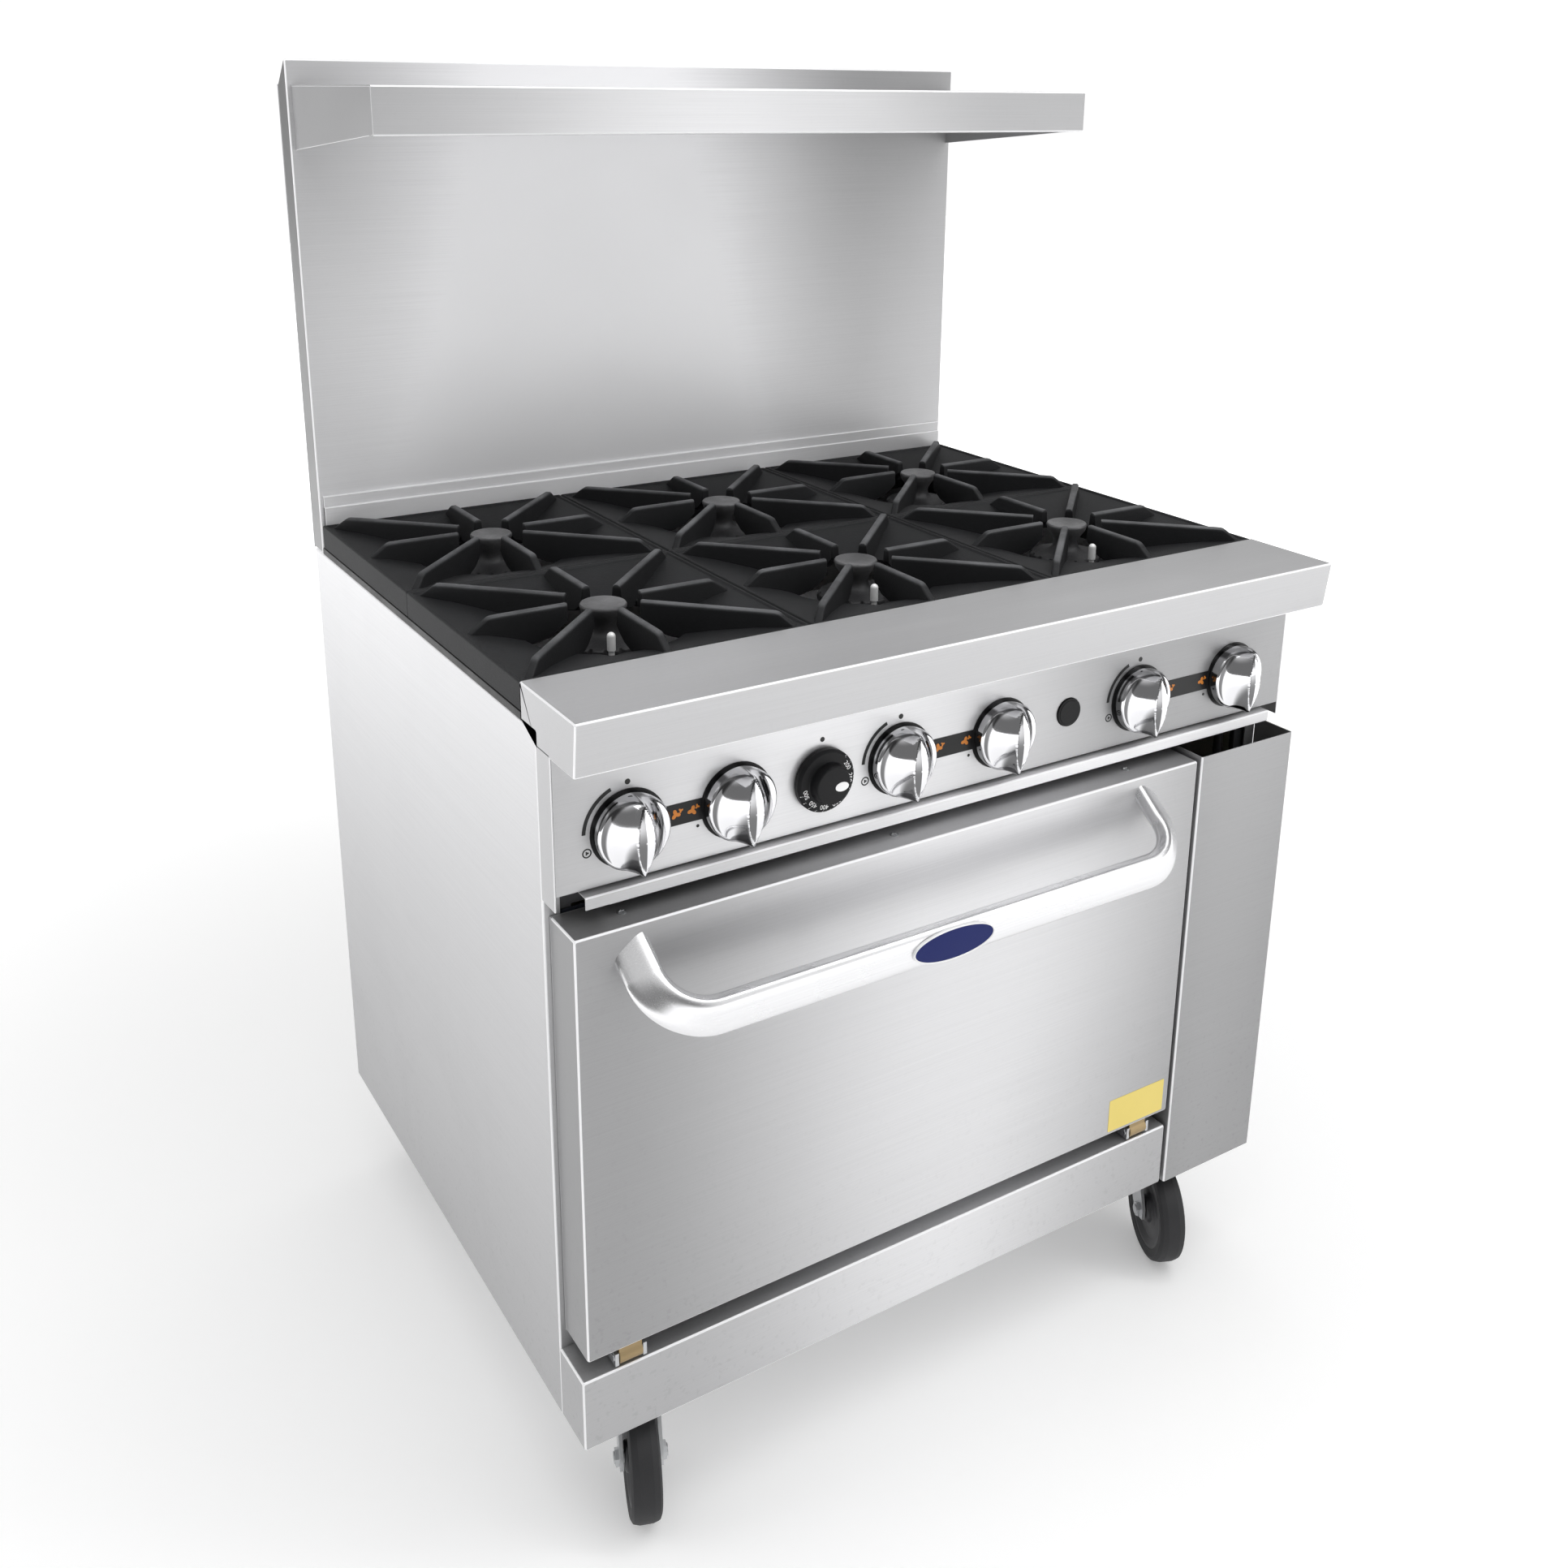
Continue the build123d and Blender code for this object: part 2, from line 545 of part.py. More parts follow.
def caster_fork(x, y, degrees):
    """Swivel fork with its two legs, and the axle with its nuts."""
    crown = Pos(0, 0, 131.2) * Cylinder(28, 3.6)
    leg = [(-16, 133), (22, 133), (TRAIL + 12, 70), (TRAIL + 12, 56), (TRAIL - 6, 51), (22, 62), (-16, 112)]
    fork = crown
    for s in (-1, 1):
        fork += prism_y(leg, s * 20.5 - 2, s * 20.5 + 2)
    fork += rod((TRAIL, -28, WHEEL_R), (TRAIL, 28, WHEEL_R), 6)
    for s in (-1, 1):
        nut = Plane(origin=(TRAIL, s * 22.5, WHEEL_R), z_dir=(0, s, 0)) * RegularPolygon(9.5, 6)
        fork += extrude(nut, 4, dir=(0, s, 0))
    return heading(x, y, degrees) * fork


def caster_wheel(x, y, degrees):
    """Wheel with a rounded tread, recessed sides and a hub."""
    half, rim, bore = WHEEL_W / 2, WHEEL_R, 6 + RUNNING
    profile = [(bore, -half - 1), (15, -half - 1), (17, -half + 5), (40, -half + 5), (44, -half),
               (rim - 7, -half),
               (rim - 1.8, -half + 3), (rim, -half + 9)]
    profile += [(r, -v) for r, v in reversed(profile)]
    wheel = turned_z(profile)
    return heading(x, y, degrees) * Pos(TRAIL, 0, WHEEL_R) * Rot(90, 0, 0) * wheel


save("hinge_brackets", *[hinge_bracket(x) for x in HINGE_X])
save("caster_plates", *[caster_plate(x, y) for x, y, _ in CASTERS.values()])
save("body_fasteners", *[b for x, y, _ in CASTERS.values() for b in caster_bolts(x, y)], *back_screws())
for name, (x, y, degrees) in CASTERS.items():
    save(f"caster_fork_{name}", caster_fork(x, y, degrees))
    save(f"caster_wheel_{name}", caster_wheel(x, y, degrees))


# ======================================================================== door
def door_skin():
    """Outer door pan, folded back on all four sides."""
    outer = box(*DOOR_X, Y_DOOR, Y_DOOR_BACK - 2, *DOOR_Z)
    inner = box(DOOR_X[0] + SHEET, DOOR_X[1] - SHEET, Y_DOOR + SHEET, Y_DOOR_BACK + 5,
                DOOR_Z[0] + SHEET, DOOR_Z[1] - SHEET)
    return outer - inner


def door_liner():
    """Inner door panel, pressed forward in its middle."""
    panel = box(*DOOR_X, Y_DOOR_BACK - 2, Y_DOOR_BACK, *DOOR_Z)
    dish = box(CAVITY_X[0] + 40, CAVITY_X[1] - 40, Y_DOOR_BACK - 10, Y_DOOR_BACK,
               CAVITY_Z[0] + 40, CAVITY_Z[1] - 40)
    hollow = box(CAVITY_X[0] + 42, CAVITY_X[1] - 42, Y_DOOR_BACK - 8, Y_DOOR_BACK + 5,
                 CAVITY_Z[0] + 42, CAVITY_Z[1] - 42)
    return panel + dish - hollow


def door_insulation():
    return box(DOOR_X[0] + 4, DOOR_X[1] - 4, Y_DOOR + SHEET, Y_DOOR_BACK - 10, DOOR_Z[0] + 4, DOOR_Z[1] - 4)


def door_handle():
    """Flattened tube bent to a bar with two posts that rise to the door; the bar's section stands upright."""
    x0, x1 = HANDLE_X
    inside = Y_DOOR + 20
    rise, run = HANDLE_ROOT_Z - HANDLE_Z, Y_DOOR - HANDLE_Y
    root_z = HANDLE_ROOT_Z + rise / run * (inside - Y_DOOR)
    corners = [(x0 - 4, inside, root_z), (x0, HANDLE_Y, HANDLE_Z), (x1, HANDLE_Y, HANDLE_Z),
               (x1 + 4, inside, root_z)]
    path = FilletPolyline(*corners, radius=HANDLE_BEND)
    tilt = math.atan2(rise, run)
    start = Vector(*corners[0])
    along = (Vector(*corners[1]) - start).normalized()
    normal = Vector(0, -math.sin(tilt), math.cos(tilt))
    tall = normal * math.cos(tilt) + normal.cross(along) * math.sin(tilt)
    flat = RectangleRounded(2 * HANDLE_SECTION[1], 2 * HANDLE_SECTION[0], HANDLE_CORNER)
    section = Plane(origin=start, z_dir=along, x_dir=tall) * flat
    return sweep(section, path=path) - box(x0 - 50, x1 + 50, Y_DOOR, inside + 60, 500, 800)


def handle_badge():
    """Blank oval plate on the front of the handle's bar."""
    front = HANDLE_Y - HANDLE_SECTION[0] - 0.1
    face = Plane.XZ * Pos(-88, HANDLE_Z, -front)
    return extrude(face * Ellipse(49, 17.5), front - Y_HANDLE, dir=(0, -1, 0))


def door_hinge(x):
    """Knuckle under the door that turns on a bracket's pin."""
    knuckle = rod((x - 12.5, HINGE_Y, HINGE_Z), (x + 12.5, HINGE_Y, HINGE_Z), 8)
    knuckle += box(x - 12.5, x + 12.5, HINGE_Y - 5, HINGE_Y + 5, HINGE_Z, DOOR_Z[0])
    return knuckle - rod((x - 20, HINGE_Y, HINGE_Z), (x + 20, HINGE_Y, HINGE_Z), PIN_R + RUNNING)


def door_screws():
    top = DOOR_Z[1]
    return [Pos(x, 57, top + 0.7) * Cylinder(4.5, 1.4) for x in (-392, -90, 222)]


save("door_skin", door_skin())
save("door_liner", door_liner())
save("door_insulation", door_insulation())
save("door_handle", door_handle())
save("handle_badge", handle_badge())
save("door_hinges", *[door_hinge(x) for x in HINGE_X])
save("door_screws", *door_screws())


# ======================================================================== tray, knobs, dial, button
def crumb_tray():
    """Shallow tray under the burners; its front lip hangs forward of the control panel."""
    z0, z1 = TRAY_Z
    outer = box(-TRAY_X, TRAY_X, 60, 700, z0, z1)
    tray = outer - box(-TRAY_X + 1.2, TRAY_X - 1.2, 61.2, 698.8, z0 + 1.2, z1 + 5)
    tray += box(-LIP_X, LIP_X, 46, 61.2, z1 - 0.2, z1 + 1.2)
    return tray + box(-LIP_X, LIP_X, 46, 47.4, z1 - 11, z1 + 1.2)


def knob(x):
    """Round skirt, domed towards a raised pointer grip, and the valve stem behind it."""
    skirt = [(0, 0), (KNOB_R, 0), (KNOB_R, 12), (31, 17), (22, 23), (0, 25)]
    body = Plane(origin=(x, KNOB_BACK, KNOB_Z), z_dir=(0, -1, 0), x_dir=(1, 0, 0)) * turned_z(skirt)
    outline = [(0, KNOB_R), (9, 24), (10, -30), (0, -33), (-10, -30), (-9, 24)]
    bar = Pos(x, 0, KNOB_Z) * prism_y(outline, KNOB_BACK - KNOB_LENGTH, KNOB_BACK - 10)
    stem = rod((x, KNOB_BACK - 6, KNOB_Z), (x, 72, KNOB_Z), STEM_R)
    return body + bar + stem


def thermostat_dial():
    """Flat round dial with its stem."""
    face = Plane(origin=(DIAL_X, KNOB_BACK, KNOB_Z), z_dir=(0, -1, 0), x_dir=(1, 0, 0))
    dial = face * turned_z([(0, 0), (32, 0), (32, 6), (29, 9), (22, 11), (20, 21), (0, 22)])
    return dial + rod((DIAL_X, KNOB_BACK - 5, KNOB_Z), (DIAL_X, 72, KNOB_Z), STEM_R)


def pilot_button():
    """Flat push button in its panel hole, with a plunger behind it."""
    cap = rod((BUTTON_X, Y_PANEL - 2.5, BUTTON_Z), (BUTTON_X, Y_PANEL + 8, BUTTON_Z), BUTTON_R)
    return cap + rod((BUTTON_X, Y_PANEL + 8, BUTTON_Z), (BUTTON_X, 70, BUTTON_Z), 4)


save("crumb_tray", crumb_tray())
for i, x in enumerate(KNOB_X, 1):
    save(f"burner_knob_{i}", knob(x))
save("thermostat_dial", thermostat_dial())
save("pilot_button", pilot_button())


# ======================================================================== grates
def finger(outer, foot):
    """Upright rib along +X: level top, sloping outer end, and an underside that rises over the hole."""
    top = GRATE_Z[1]
    outline = [(40, top), (outer, top), (foot, 909), (foot, 903), (100, 892), (GRATE_HOLE_R, 889),
               (58, 893), (40, 908)]
    return prism_y(outline, -FINGER_W / 2, FINGER_W / 2)


def grate(x, y):
    """Cast grate: a bowl deck with a round hole, a skirt, eight radial fingers and a notch for the pilot."""
    hx, hy = GRATE_SIZE[0] / 2, GRATE_SIZE[1] / 2
    z0, rim = GRATE_Z[0], GRATE_RIM_Z
    bowl = [(GRATE_HOLE_R, 888), (GRATE_HOLE_R, 895), (150, rim - 3), (230, rim), (230, rim - 7),
            (150, rim - 10)]
    deck = turned_z(bowl)
    body = deck & box(-hx, hx, -hy, hy, z0, rim + 5)
    body += box(-hx, hx, -hy, hy, z0, rim - 1) - box(-hx + 6, hx - 6, -hy + 6, hy - 6, z0 - 5, rim + 5)
    for i in range(8):
        ends = (180, 200) if i % 2 else (122, 143)
        body += Rot(0, 0, 45 * i) * finger(*ends)
    body -= Pos(*PILOT_OFFSET, 900) * Cylinder(10, 60)
    return Pos(x, y, 0) * body


for row_name, y in zip(("front", "rear"), ROW_Y):
    for column_name, x in zip(("left", "middle", "right"), COLUMN_X):
        save(f"grate_{row_name}_{column_name}", grate(x, y))
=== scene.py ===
# %% [markdown]
# # A commercial gas range
#
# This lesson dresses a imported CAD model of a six-burner gas range: stainless sheet, a cast iron top,
# chromed knobs, a satin handle and four rubber wheels. The CAD model fixes every place and size. Each
# step below says what a piece is on the real range, how it could be made, and why one way was chosen.

import json
import math

import bmesh
import bpy
import numpy as np
from mathutils import Matrix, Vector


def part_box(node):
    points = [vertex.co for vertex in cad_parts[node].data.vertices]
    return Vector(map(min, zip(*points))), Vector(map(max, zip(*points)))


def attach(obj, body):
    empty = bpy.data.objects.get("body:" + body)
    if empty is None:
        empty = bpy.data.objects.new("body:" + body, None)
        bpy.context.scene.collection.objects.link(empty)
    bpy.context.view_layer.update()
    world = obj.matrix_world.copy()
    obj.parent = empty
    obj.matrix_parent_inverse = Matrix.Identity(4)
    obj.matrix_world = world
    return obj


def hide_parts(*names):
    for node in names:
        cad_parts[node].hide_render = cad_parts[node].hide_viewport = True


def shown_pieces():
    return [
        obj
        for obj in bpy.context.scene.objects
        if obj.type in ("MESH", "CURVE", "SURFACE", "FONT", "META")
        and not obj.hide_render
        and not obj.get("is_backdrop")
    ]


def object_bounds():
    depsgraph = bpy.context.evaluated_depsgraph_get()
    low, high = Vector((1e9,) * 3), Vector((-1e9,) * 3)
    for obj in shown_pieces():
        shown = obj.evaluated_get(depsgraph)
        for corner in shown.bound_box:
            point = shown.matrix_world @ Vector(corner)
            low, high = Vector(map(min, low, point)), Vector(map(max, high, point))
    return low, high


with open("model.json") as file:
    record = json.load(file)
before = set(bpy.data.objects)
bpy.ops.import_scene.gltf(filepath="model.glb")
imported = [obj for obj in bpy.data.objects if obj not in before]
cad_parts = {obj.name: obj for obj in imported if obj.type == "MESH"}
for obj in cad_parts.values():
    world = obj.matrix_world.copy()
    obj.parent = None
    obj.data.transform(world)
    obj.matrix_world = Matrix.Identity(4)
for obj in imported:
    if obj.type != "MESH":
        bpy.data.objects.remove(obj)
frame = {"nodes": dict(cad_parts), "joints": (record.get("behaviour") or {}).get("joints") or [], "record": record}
cad_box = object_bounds()
scene = bpy.context.scene
MM = 0.001

# %% [markdown]
# ## Reading places from the frame
#
# A range is a stack of folded sheets, so most pieces are known by the six faces of a box. The lowest
# and highest corner of a CAD node give those faces, and a piece that stands for a node starts there.


# %% Boxes of the CAD nodes
def faces_of(node):
    """(x0, x1, y0, y1, z0, z1) of a CAD node, in metres."""
    low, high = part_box(node)
    return low.x, high.x, low.y, high.y, low.z, high.z


DOOR = faces_of("door_skin")
PANEL = faces_of("control_panel")
LEDGE = faces_of("front_ledge")
print("door face at", round(DOOR[2], 4), "panel face at", round(PANEL[2], 4))

# %% [markdown]
# ## Grids of points
#
# Every new surface here is a grid: rows run one way over the piece, columns the other, and a rule in
# two parameters gives each point. A modeller could also push a box about by hand, but a rule can be
# measured, changed by one number and repeated, which suits sheet metal and castings. The helpers below
# turn a grid into faces, put several grids into one mesh, and finish it.


# %% From a grid to a mesh
def woven(points, wrap_rows=False, wrap_columns=True, caps=()):
    """Points (rows, columns, 3) and their faces: square (i, j) joins points (i, j), (i, j+1), (i+1, j+1)
    and (i+1, j). A cap closes the first (0) or last (-1) row with one face."""
    rows, columns = points.shape[:2]
    i = np.arange(rows if wrap_rows else rows - 1)[:, None]
    j = np.arange(columns if wrap_columns else columns - 1)[None, :]
    i2, j2 = (i + 1) % rows, (j + 1) % columns
    corners = (i * columns + j, i * columns + j2, i2 * columns + j2, i2 * columns + j)
    faces = np.stack(np.broadcast_arrays(*corners), -1).reshape(-1, 4).tolist()
    for cap in caps:
        faces.append((np.arange(columns) + (rows - 1) * columns * (cap == -1)).tolist())
    return points.reshape(-1, 3), faces


def mesh_of(name, grids, weld=1e-6):
    """One mesh from several (points, faces) pairs, with doubles merged and faces turned outwards."""
    start, all_points, all_faces = 0, [], []
    for points, faces in grids:
        all_points.append(np.asarray(points, float))
        all_faces += [[start + k for k in face] for face in faces]
        start += len(points)
    mesh = bpy.data.meshes.new(name)
    mesh.from_pydata(np.concatenate(all_points).tolist(), [], all_faces)
    shape = bmesh.new()
    shape.from_mesh(mesh)
    bmesh.ops.remove_doubles(shape, verts=shape.verts, dist=weld)
    bmesh.ops.dissolve_degenerate(shape, edges=shape.edges, dist=weld)
    bmesh.ops.recalc_face_normals(shape, faces=shape.faces)
    shape.to_mesh(mesh)
    shape.free()
    return mesh


def finished(name, made, body, material, nodes=(), thickness=0.0, bevel=0.0, crease=32.0):
    """Puts a mesh, or a list of grids, in the scene: sheet thickness to the inside, softened edges,
    shading split at edges sharper than crease, then its body and material, and the CAD nodes it stands for are
    hidden."""
    piece = bpy.data.objects.new(name, mesh_of(name, made) if isinstance(made, list) else made)
    scene.collection.objects.link(piece)
    if thickness:
        wall = piece.modifiers.new("sheet", "SOLIDIFY")
        wall.thickness, wall.offset, wall.use_even_offset = thickness, -1.0, True
    if bevel:
        soft = piece.modifiers.new("soft edges", "BEVEL")
        soft.width, soft.segments, soft.limit_method, soft.angle_limit = bevel, 2, "ANGLE", math.radians(40)
    if piece.modifiers:
        done = bpy.data.meshes.new_from_object(piece.evaluated_get(bpy.context.evaluated_depsgraph_get()))
        piece.modifiers.clear()
        piece.data = done
    piece.data.shade_smooth()
    piece.data.set_sharp_from_angle(angle=math.radians(crease))
    even = piece.modifiers.new("even shading", "WEIGHTED_NORMAL")
    even.keep_sharp = True
    piece.data.materials.clear()
    piece.data.materials.append(material)
    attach(piece, body)
    if nodes:
        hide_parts(*nodes)
    return piece


# %% [markdown]
# ## Outlines with rounded corners
#
# Sheet metal never has a knife edge: a press brake leaves a bend radius of one to three millimetres, and
# that small curve catches the light as a bright line. So outlines are rounded before they are carried
# along, and the ends of a closed form roll over by the same rule.


# %% Rounding and insetting
def rounded(corners, radius, closed=True, steps=5):
    """Each corner becomes an arc. Its centre lies on the corner's bisector, at radius / sin(half the
    corner's angle), and the arc swings between the two points where it touches the sides."""
    corners = np.asarray(corners, float)
    radii = np.broadcast_to(radius, len(corners))
    line = []
    for k, (corner, r) in enumerate(zip(corners, radii)):
        if r <= 0 or (not closed and k in (0, len(corners) - 1)):
            line.append(corner[None])
            continue
        before, after = corners[k - 1] - corner, corners[(k + 1) % len(corners)] - corner
        u, w = before / np.linalg.norm(before), after / np.linalg.norm(after)
        half = math.acos(np.clip(u @ w, -1, 1)) / 2
        if half > math.radians(89.5):
            line.append(corner[None])
            continue
        middle = corner + (u + w) / np.linalg.norm(u + w) * r / math.sin(half)
        a, b = corner + u * r / math.tan(half) - middle, corner + w * r / math.tan(half) - middle
        swing = math.acos(np.clip(a @ b / (r * r), -1, 1))
        t = np.linspace(0, 1, steps)[:, None]
        line.append(middle + (np.sin((1 - t) * swing) * a + np.sin(t * swing) * b) / math.sin(swing))
    return np.concatenate(line)


def inset(outline, distance):
    """A closed counter-clockwise or clockwise outline moved inwards along its own normals."""
    ahead, behind = np.roll(outline, -1, 0), np.roll(outline, 1, 0)
    tangent = ahead - behind
    normal = np.stack([-tangent[:, 1], tangent[:, 0]], -1)
    normal /= np.linalg.norm(normal, axis=1)[:, None]
    area = np.sum(outline[:, 0] * ahead[:, 1] - ahead[:, 0] * outline[:, 1])
    return outline + normal * distance * np.sign(area)


def placed(a, b, c, order):
    """Local a, b, c written as world x, y, z: order names which local each world axis takes."""
    local = {"a": a, "b": b, "c": c}
    return np.stack(np.broadcast_arrays(*[local[k] for k in order]), -1)


def rolled(outline, c0, c1, edge, order, steps=4):
    """Closed form: an (a, b) outline carried from c0 to c1, its ends rolled over by a quarter circle of
    radius edge. Row t has inset edge * (1 - sin t) and lies edge * (1 - cos t) in from its end."""
    t = np.linspace(0, math.pi / 2, steps)
    insets = np.concatenate([edge * (1 - np.sin(t)), edge * (1 - np.sin(t[::-1]))])
    depths = np.concatenate([c0 + edge * (1 - np.cos(t)), c1 - edge * (1 - np.cos(t[::-1]))])
    rows = np.stack([inset(outline, d) for d in insets])
    return woven(placed(rows[..., 0], rows[..., 1], depths[:, None], order), caps=(0, -1))


def sheet_strip(outline, c0, c1, order):
    """Open sheet: an (a, b) line carried straight from c0 to c1."""
    ends = np.array([c0, c1])[:, None]
    return woven(placed(outline[None, :, 0], outline[None, :, 1], ends, order), wrap_columns=False)


def pan(a0, a1, b0, b1, face, back, bend, order, steps=5):
    """Folded pan, open behind: a flat face, a bend of the given radius all round, and a flange that runs
    back. Row t of the bend has inset bend * (1 - sin t) and depth bend * (1 - cos t)."""
    outline = rounded([(a0, b0), (a1, b0), (a1, b1), (a0, b1)], bend)
    t = np.linspace(0, math.pi / 2, steps)
    rows = np.stack([inset(outline, d) for d in bend * (1 - np.sin(t))] + [outline])
    sign = 1 if back > face else -1
    depths = np.append(face + sign * bend * (1 - np.cos(t)), back)
    return woven(placed(rows[..., 0], rows[..., 1], depths[:, None], order), caps=(0,))


def turned(profile, segments, centre, right, up, axis):
    """Turned form: each (radius, height) of the profile swept round the axis. right and up span the plane
    of the circle."""
    profile = np.asarray(profile, float)
    angle = np.arange(segments) * 2 * math.pi / segments
    ring = np.cos(angle)[:, None] * np.asarray(right, float) + np.sin(angle)[:, None] * np.asarray(up, float)
    points = profile[:, 0, None, None] * ring + profile[:, 1, None, None] * np.asarray(axis, float)
    return woven(points + np.asarray(centre, float))


# %% [markdown]
# ## Effects shared by the finishes
#
# Real sheet shows three things at three scales: the fine parallel scratches of the brushing belt, broad
# soft bands of reflected light, and faint smears from cleaning. Each is a node group with
# its own inputs, built once, and the bands are a painted reflection in the colour. A group gives out values only,
# and the shader stays in each material.


# %% Node helpers and the shared groups
def add(tree, kind, **values):
    """A node of that kind, with properties by name and input values by input name or number."""
    node = tree.nodes.new("ShaderNode" + kind)
    for key, value in values.items():
        if key.startswith("in_"):
            key = key[3:]
            node.inputs[int(key) if key.isdigit() else key.replace("_", " ")].default_value = value
        else:
            setattr(node, key, value)
    return node


def join(tree, *pairs):
    for source, target in pairs:
        tree.links.new(source, target)


def math_node(tree, operation, first, second=None, third=None):
    node = add(tree, "Math", operation=operation)
    for k, value in enumerate((first, second, third)):
        if value is None:
            continue
        if isinstance(value, (int, float)):
            node.inputs[k].default_value = value
        else:
            tree.links.new(value, node.inputs[k])
    return node.outputs[0]


def effect(name, inputs, outputs):
    """An empty node group: inputs as (name, default), outputs by name."""
    group = bpy.data.node_groups.new(name, "ShaderNodeTree")
    for label, default in inputs:
        kind = "NodeSocketVector" if isinstance(default, tuple) else "NodeSocketFloat"
        group.interface.new_socket(label, in_out="INPUT", socket_type=kind).default_value = default
    for label in outputs:
        group.interface.new_socket(label, in_out="OUTPUT", socket_type="NodeSocketFloat")
    return group, group.nodes.new("NodeGroupInput").outputs, group.nodes.new("NodeGroupOutput").inputs


def remapped(tree, value, low, high, to_low, to_high, smooth=True):
    node = add(tree, "MapRange", interpolation_type="SMOOTHSTEP" if smooth else "LINEAR")
    tree.links.new(value, node.inputs["Value"])
    for label, amount in zip(("From Min", "From Max", "To Min", "To Max"), (low, high, to_low, to_high)):
        if isinstance(amount, (int, float)):
            node.inputs[label].default_value = amount
        else:
            tree.links.new(amount, node.inputs[label])
    return node.outputs[0]


# Brushed grain: noise squeezed across the belt's direction, so that it draws long thin scratches.
grain, grain_in, grain_out = effect("brushed_grain", [("Stretch", (5.0, 900.0, 900.0)), ("Depth", 1.0)],
                                    ["Shade", "Height"])
place = add(grain, "TexCoord")
squeeze = add(grain, "Mapping")
scratch = add(grain, "TexNoise", in_Scale=1.0, in_Detail=3.0, in_Roughness=0.65)
join(grain, (place.outputs["Object"], squeeze.inputs["Vector"]),
     (grain_in["Stretch"], squeeze.inputs["Scale"]), (squeeze.outputs[0], scratch.inputs["Vector"]),
     (scratch.outputs["Fac"], grain_out["Shade"]))
join(grain, (math_node(grain, "MULTIPLY", scratch.outputs["Fac"], grain_in["Depth"]), grain_out["Height"]))

# Painted sheen bands: a painted reflection, a soft light tone round a centre line in x, darker to both sides, its
# border wavering. Rise adds a painted shade that changes with height.
painted_bands, painted_bands_in, painted_bands_out = effect("painted_sheen_bands", [("Centre", 0.0), ("Reach", 0.5), ("Light", 0.8),
                                                    ("Dark", 0.5), ("Rise", 0.0)], ["Tone"])
place = add(painted_bands, "TexCoord")
apart = add(painted_bands, "SeparateXYZ")
waver = add(painted_bands, "TexNoise", in_Scale=1.6, in_Detail=1.0)
join(painted_bands, (place.outputs["Object"], apart.inputs[0]), (place.outputs["Object"], waver.inputs["Vector"]))
shift = math_node(painted_bands, "MULTIPLY_ADD", waver.outputs["Fac"], 0.16, -0.08)
across = math_node(painted_bands, "ABSOLUTE", math_node(painted_bands, "SUBTRACT", apart.outputs["X"], painted_bands_in["Centre"]))
across = math_node(painted_bands, "DIVIDE", math_node(painted_bands, "ADD", across, shift), painted_bands_in["Reach"])
tone = remapped(painted_bands, across, 0.0, 1.0, painted_bands_in["Light"], painted_bands_in["Dark"])
join(painted_bands, (math_node(painted_bands, "MULTIPLY_ADD", apart.outputs["Z"], painted_bands_in["Rise"], tone), painted_bands_out["Tone"]))

# Smears: wide faint patches left by cleaning, and finer specks that grow towards the floor.
smears, smears_in, smears_out = effect("smears", [("Amount", 1.0)], ["Patch", "Speck"])
place = add(smears, "TexCoord")
apart = add(smears, "SeparateXYZ")
patch = add(smears, "TexNoise", in_Scale=7.0, in_Detail=4.0, in_Distortion=0.6)
speck = add(smears, "TexNoise", in_Scale=160.0, in_Detail=2.0)
join(smears, (place.outputs["Object"], apart.inputs[0]), (place.outputs["Object"], patch.inputs["Vector"]),
     (place.outputs["Object"], speck.inputs["Vector"]))
wide = remapped(smears, patch.outputs["Fac"], 0.42, 0.68, 0.0, 1.0)
wide = math_node(smears, "MULTIPLY", wide, smears_in["Amount"])
low_down = remapped(smears, apart.outputs["Z"], 0.0, 0.5, 1.0, 0.15)
fine = math_node(smears, "MULTIPLY", remapped(smears, speck.outputs["Fac"], 0.58, 0.72, 0.0, 1.0), low_down)
join(smears, (wide, smears_out["Patch"]),
     (math_node(smears, "MULTIPLY", fine, smears_in["Amount"]), smears_out["Speck"]))

# Painted fold highlight: the outside of a fold is painted bright, standing in for the light its curve catches. Its
# normal lies between two axes there, so the mask is one where the largest of the normal's three parts falls well
# below one. Side is one on faces that face along x, and the steel uses it for a painted shade on those end faces.
painted_folds, _, painted_folds_out = effect("painted_fold_highlight", [], ["Mask", "Side"])
place = add(painted_folds, "TexCoord")
apart = add(painted_folds, "SeparateXYZ")
join(painted_folds, (place.outputs["Normal"], apart.inputs[0]))
parts = [math_node(painted_folds, "ABSOLUTE", apart.outputs[axis]) for axis in "XYZ"]
most = math_node(painted_folds, "MAXIMUM", math_node(painted_folds, "MAXIMUM", parts[0], parts[1]), parts[2])
join(painted_folds, (remapped(painted_folds, most, 0.978, 0.90, 0.0, 1.0), painted_folds_out["Mask"]),
     (remapped(painted_folds, parts[0], 0.75, 0.95, 0.0, 1.0), painted_folds_out["Side"]))

# Painted chrome reflections: polished castings show narrow light and dark streaks of reflected surroundings that
# run with the curve of the form, and here they are painted into the colour. The tone is a sine of the normal's x
# and z, cut so that most of it stays light.
painted_streaks, painted_streaks_in, painted_streaks_out = effect("painted_chrome_reflections", [("Narrow", 8.0), ("Darkest", 0.2)], ["Tone"])
place = add(painted_streaks, "TexCoord")
apart = add(painted_streaks, "SeparateXYZ")
join(painted_streaks, (place.outputs["Normal"], apart.inputs[0]))
lean = math_node(painted_streaks, "MULTIPLY_ADD", apart.outputs["Z"], 0.45, apart.outputs["X"])
wave = math_node(painted_streaks, "SINE", math_node(painted_streaks, "MULTIPLY", lean, painted_streaks_in["Narrow"]))
join(painted_streaks, (remapped(painted_streaks, wave, -0.85, -0.1, painted_streaks_in["Darkest"], 1.0), painted_streaks_out["Tone"]))
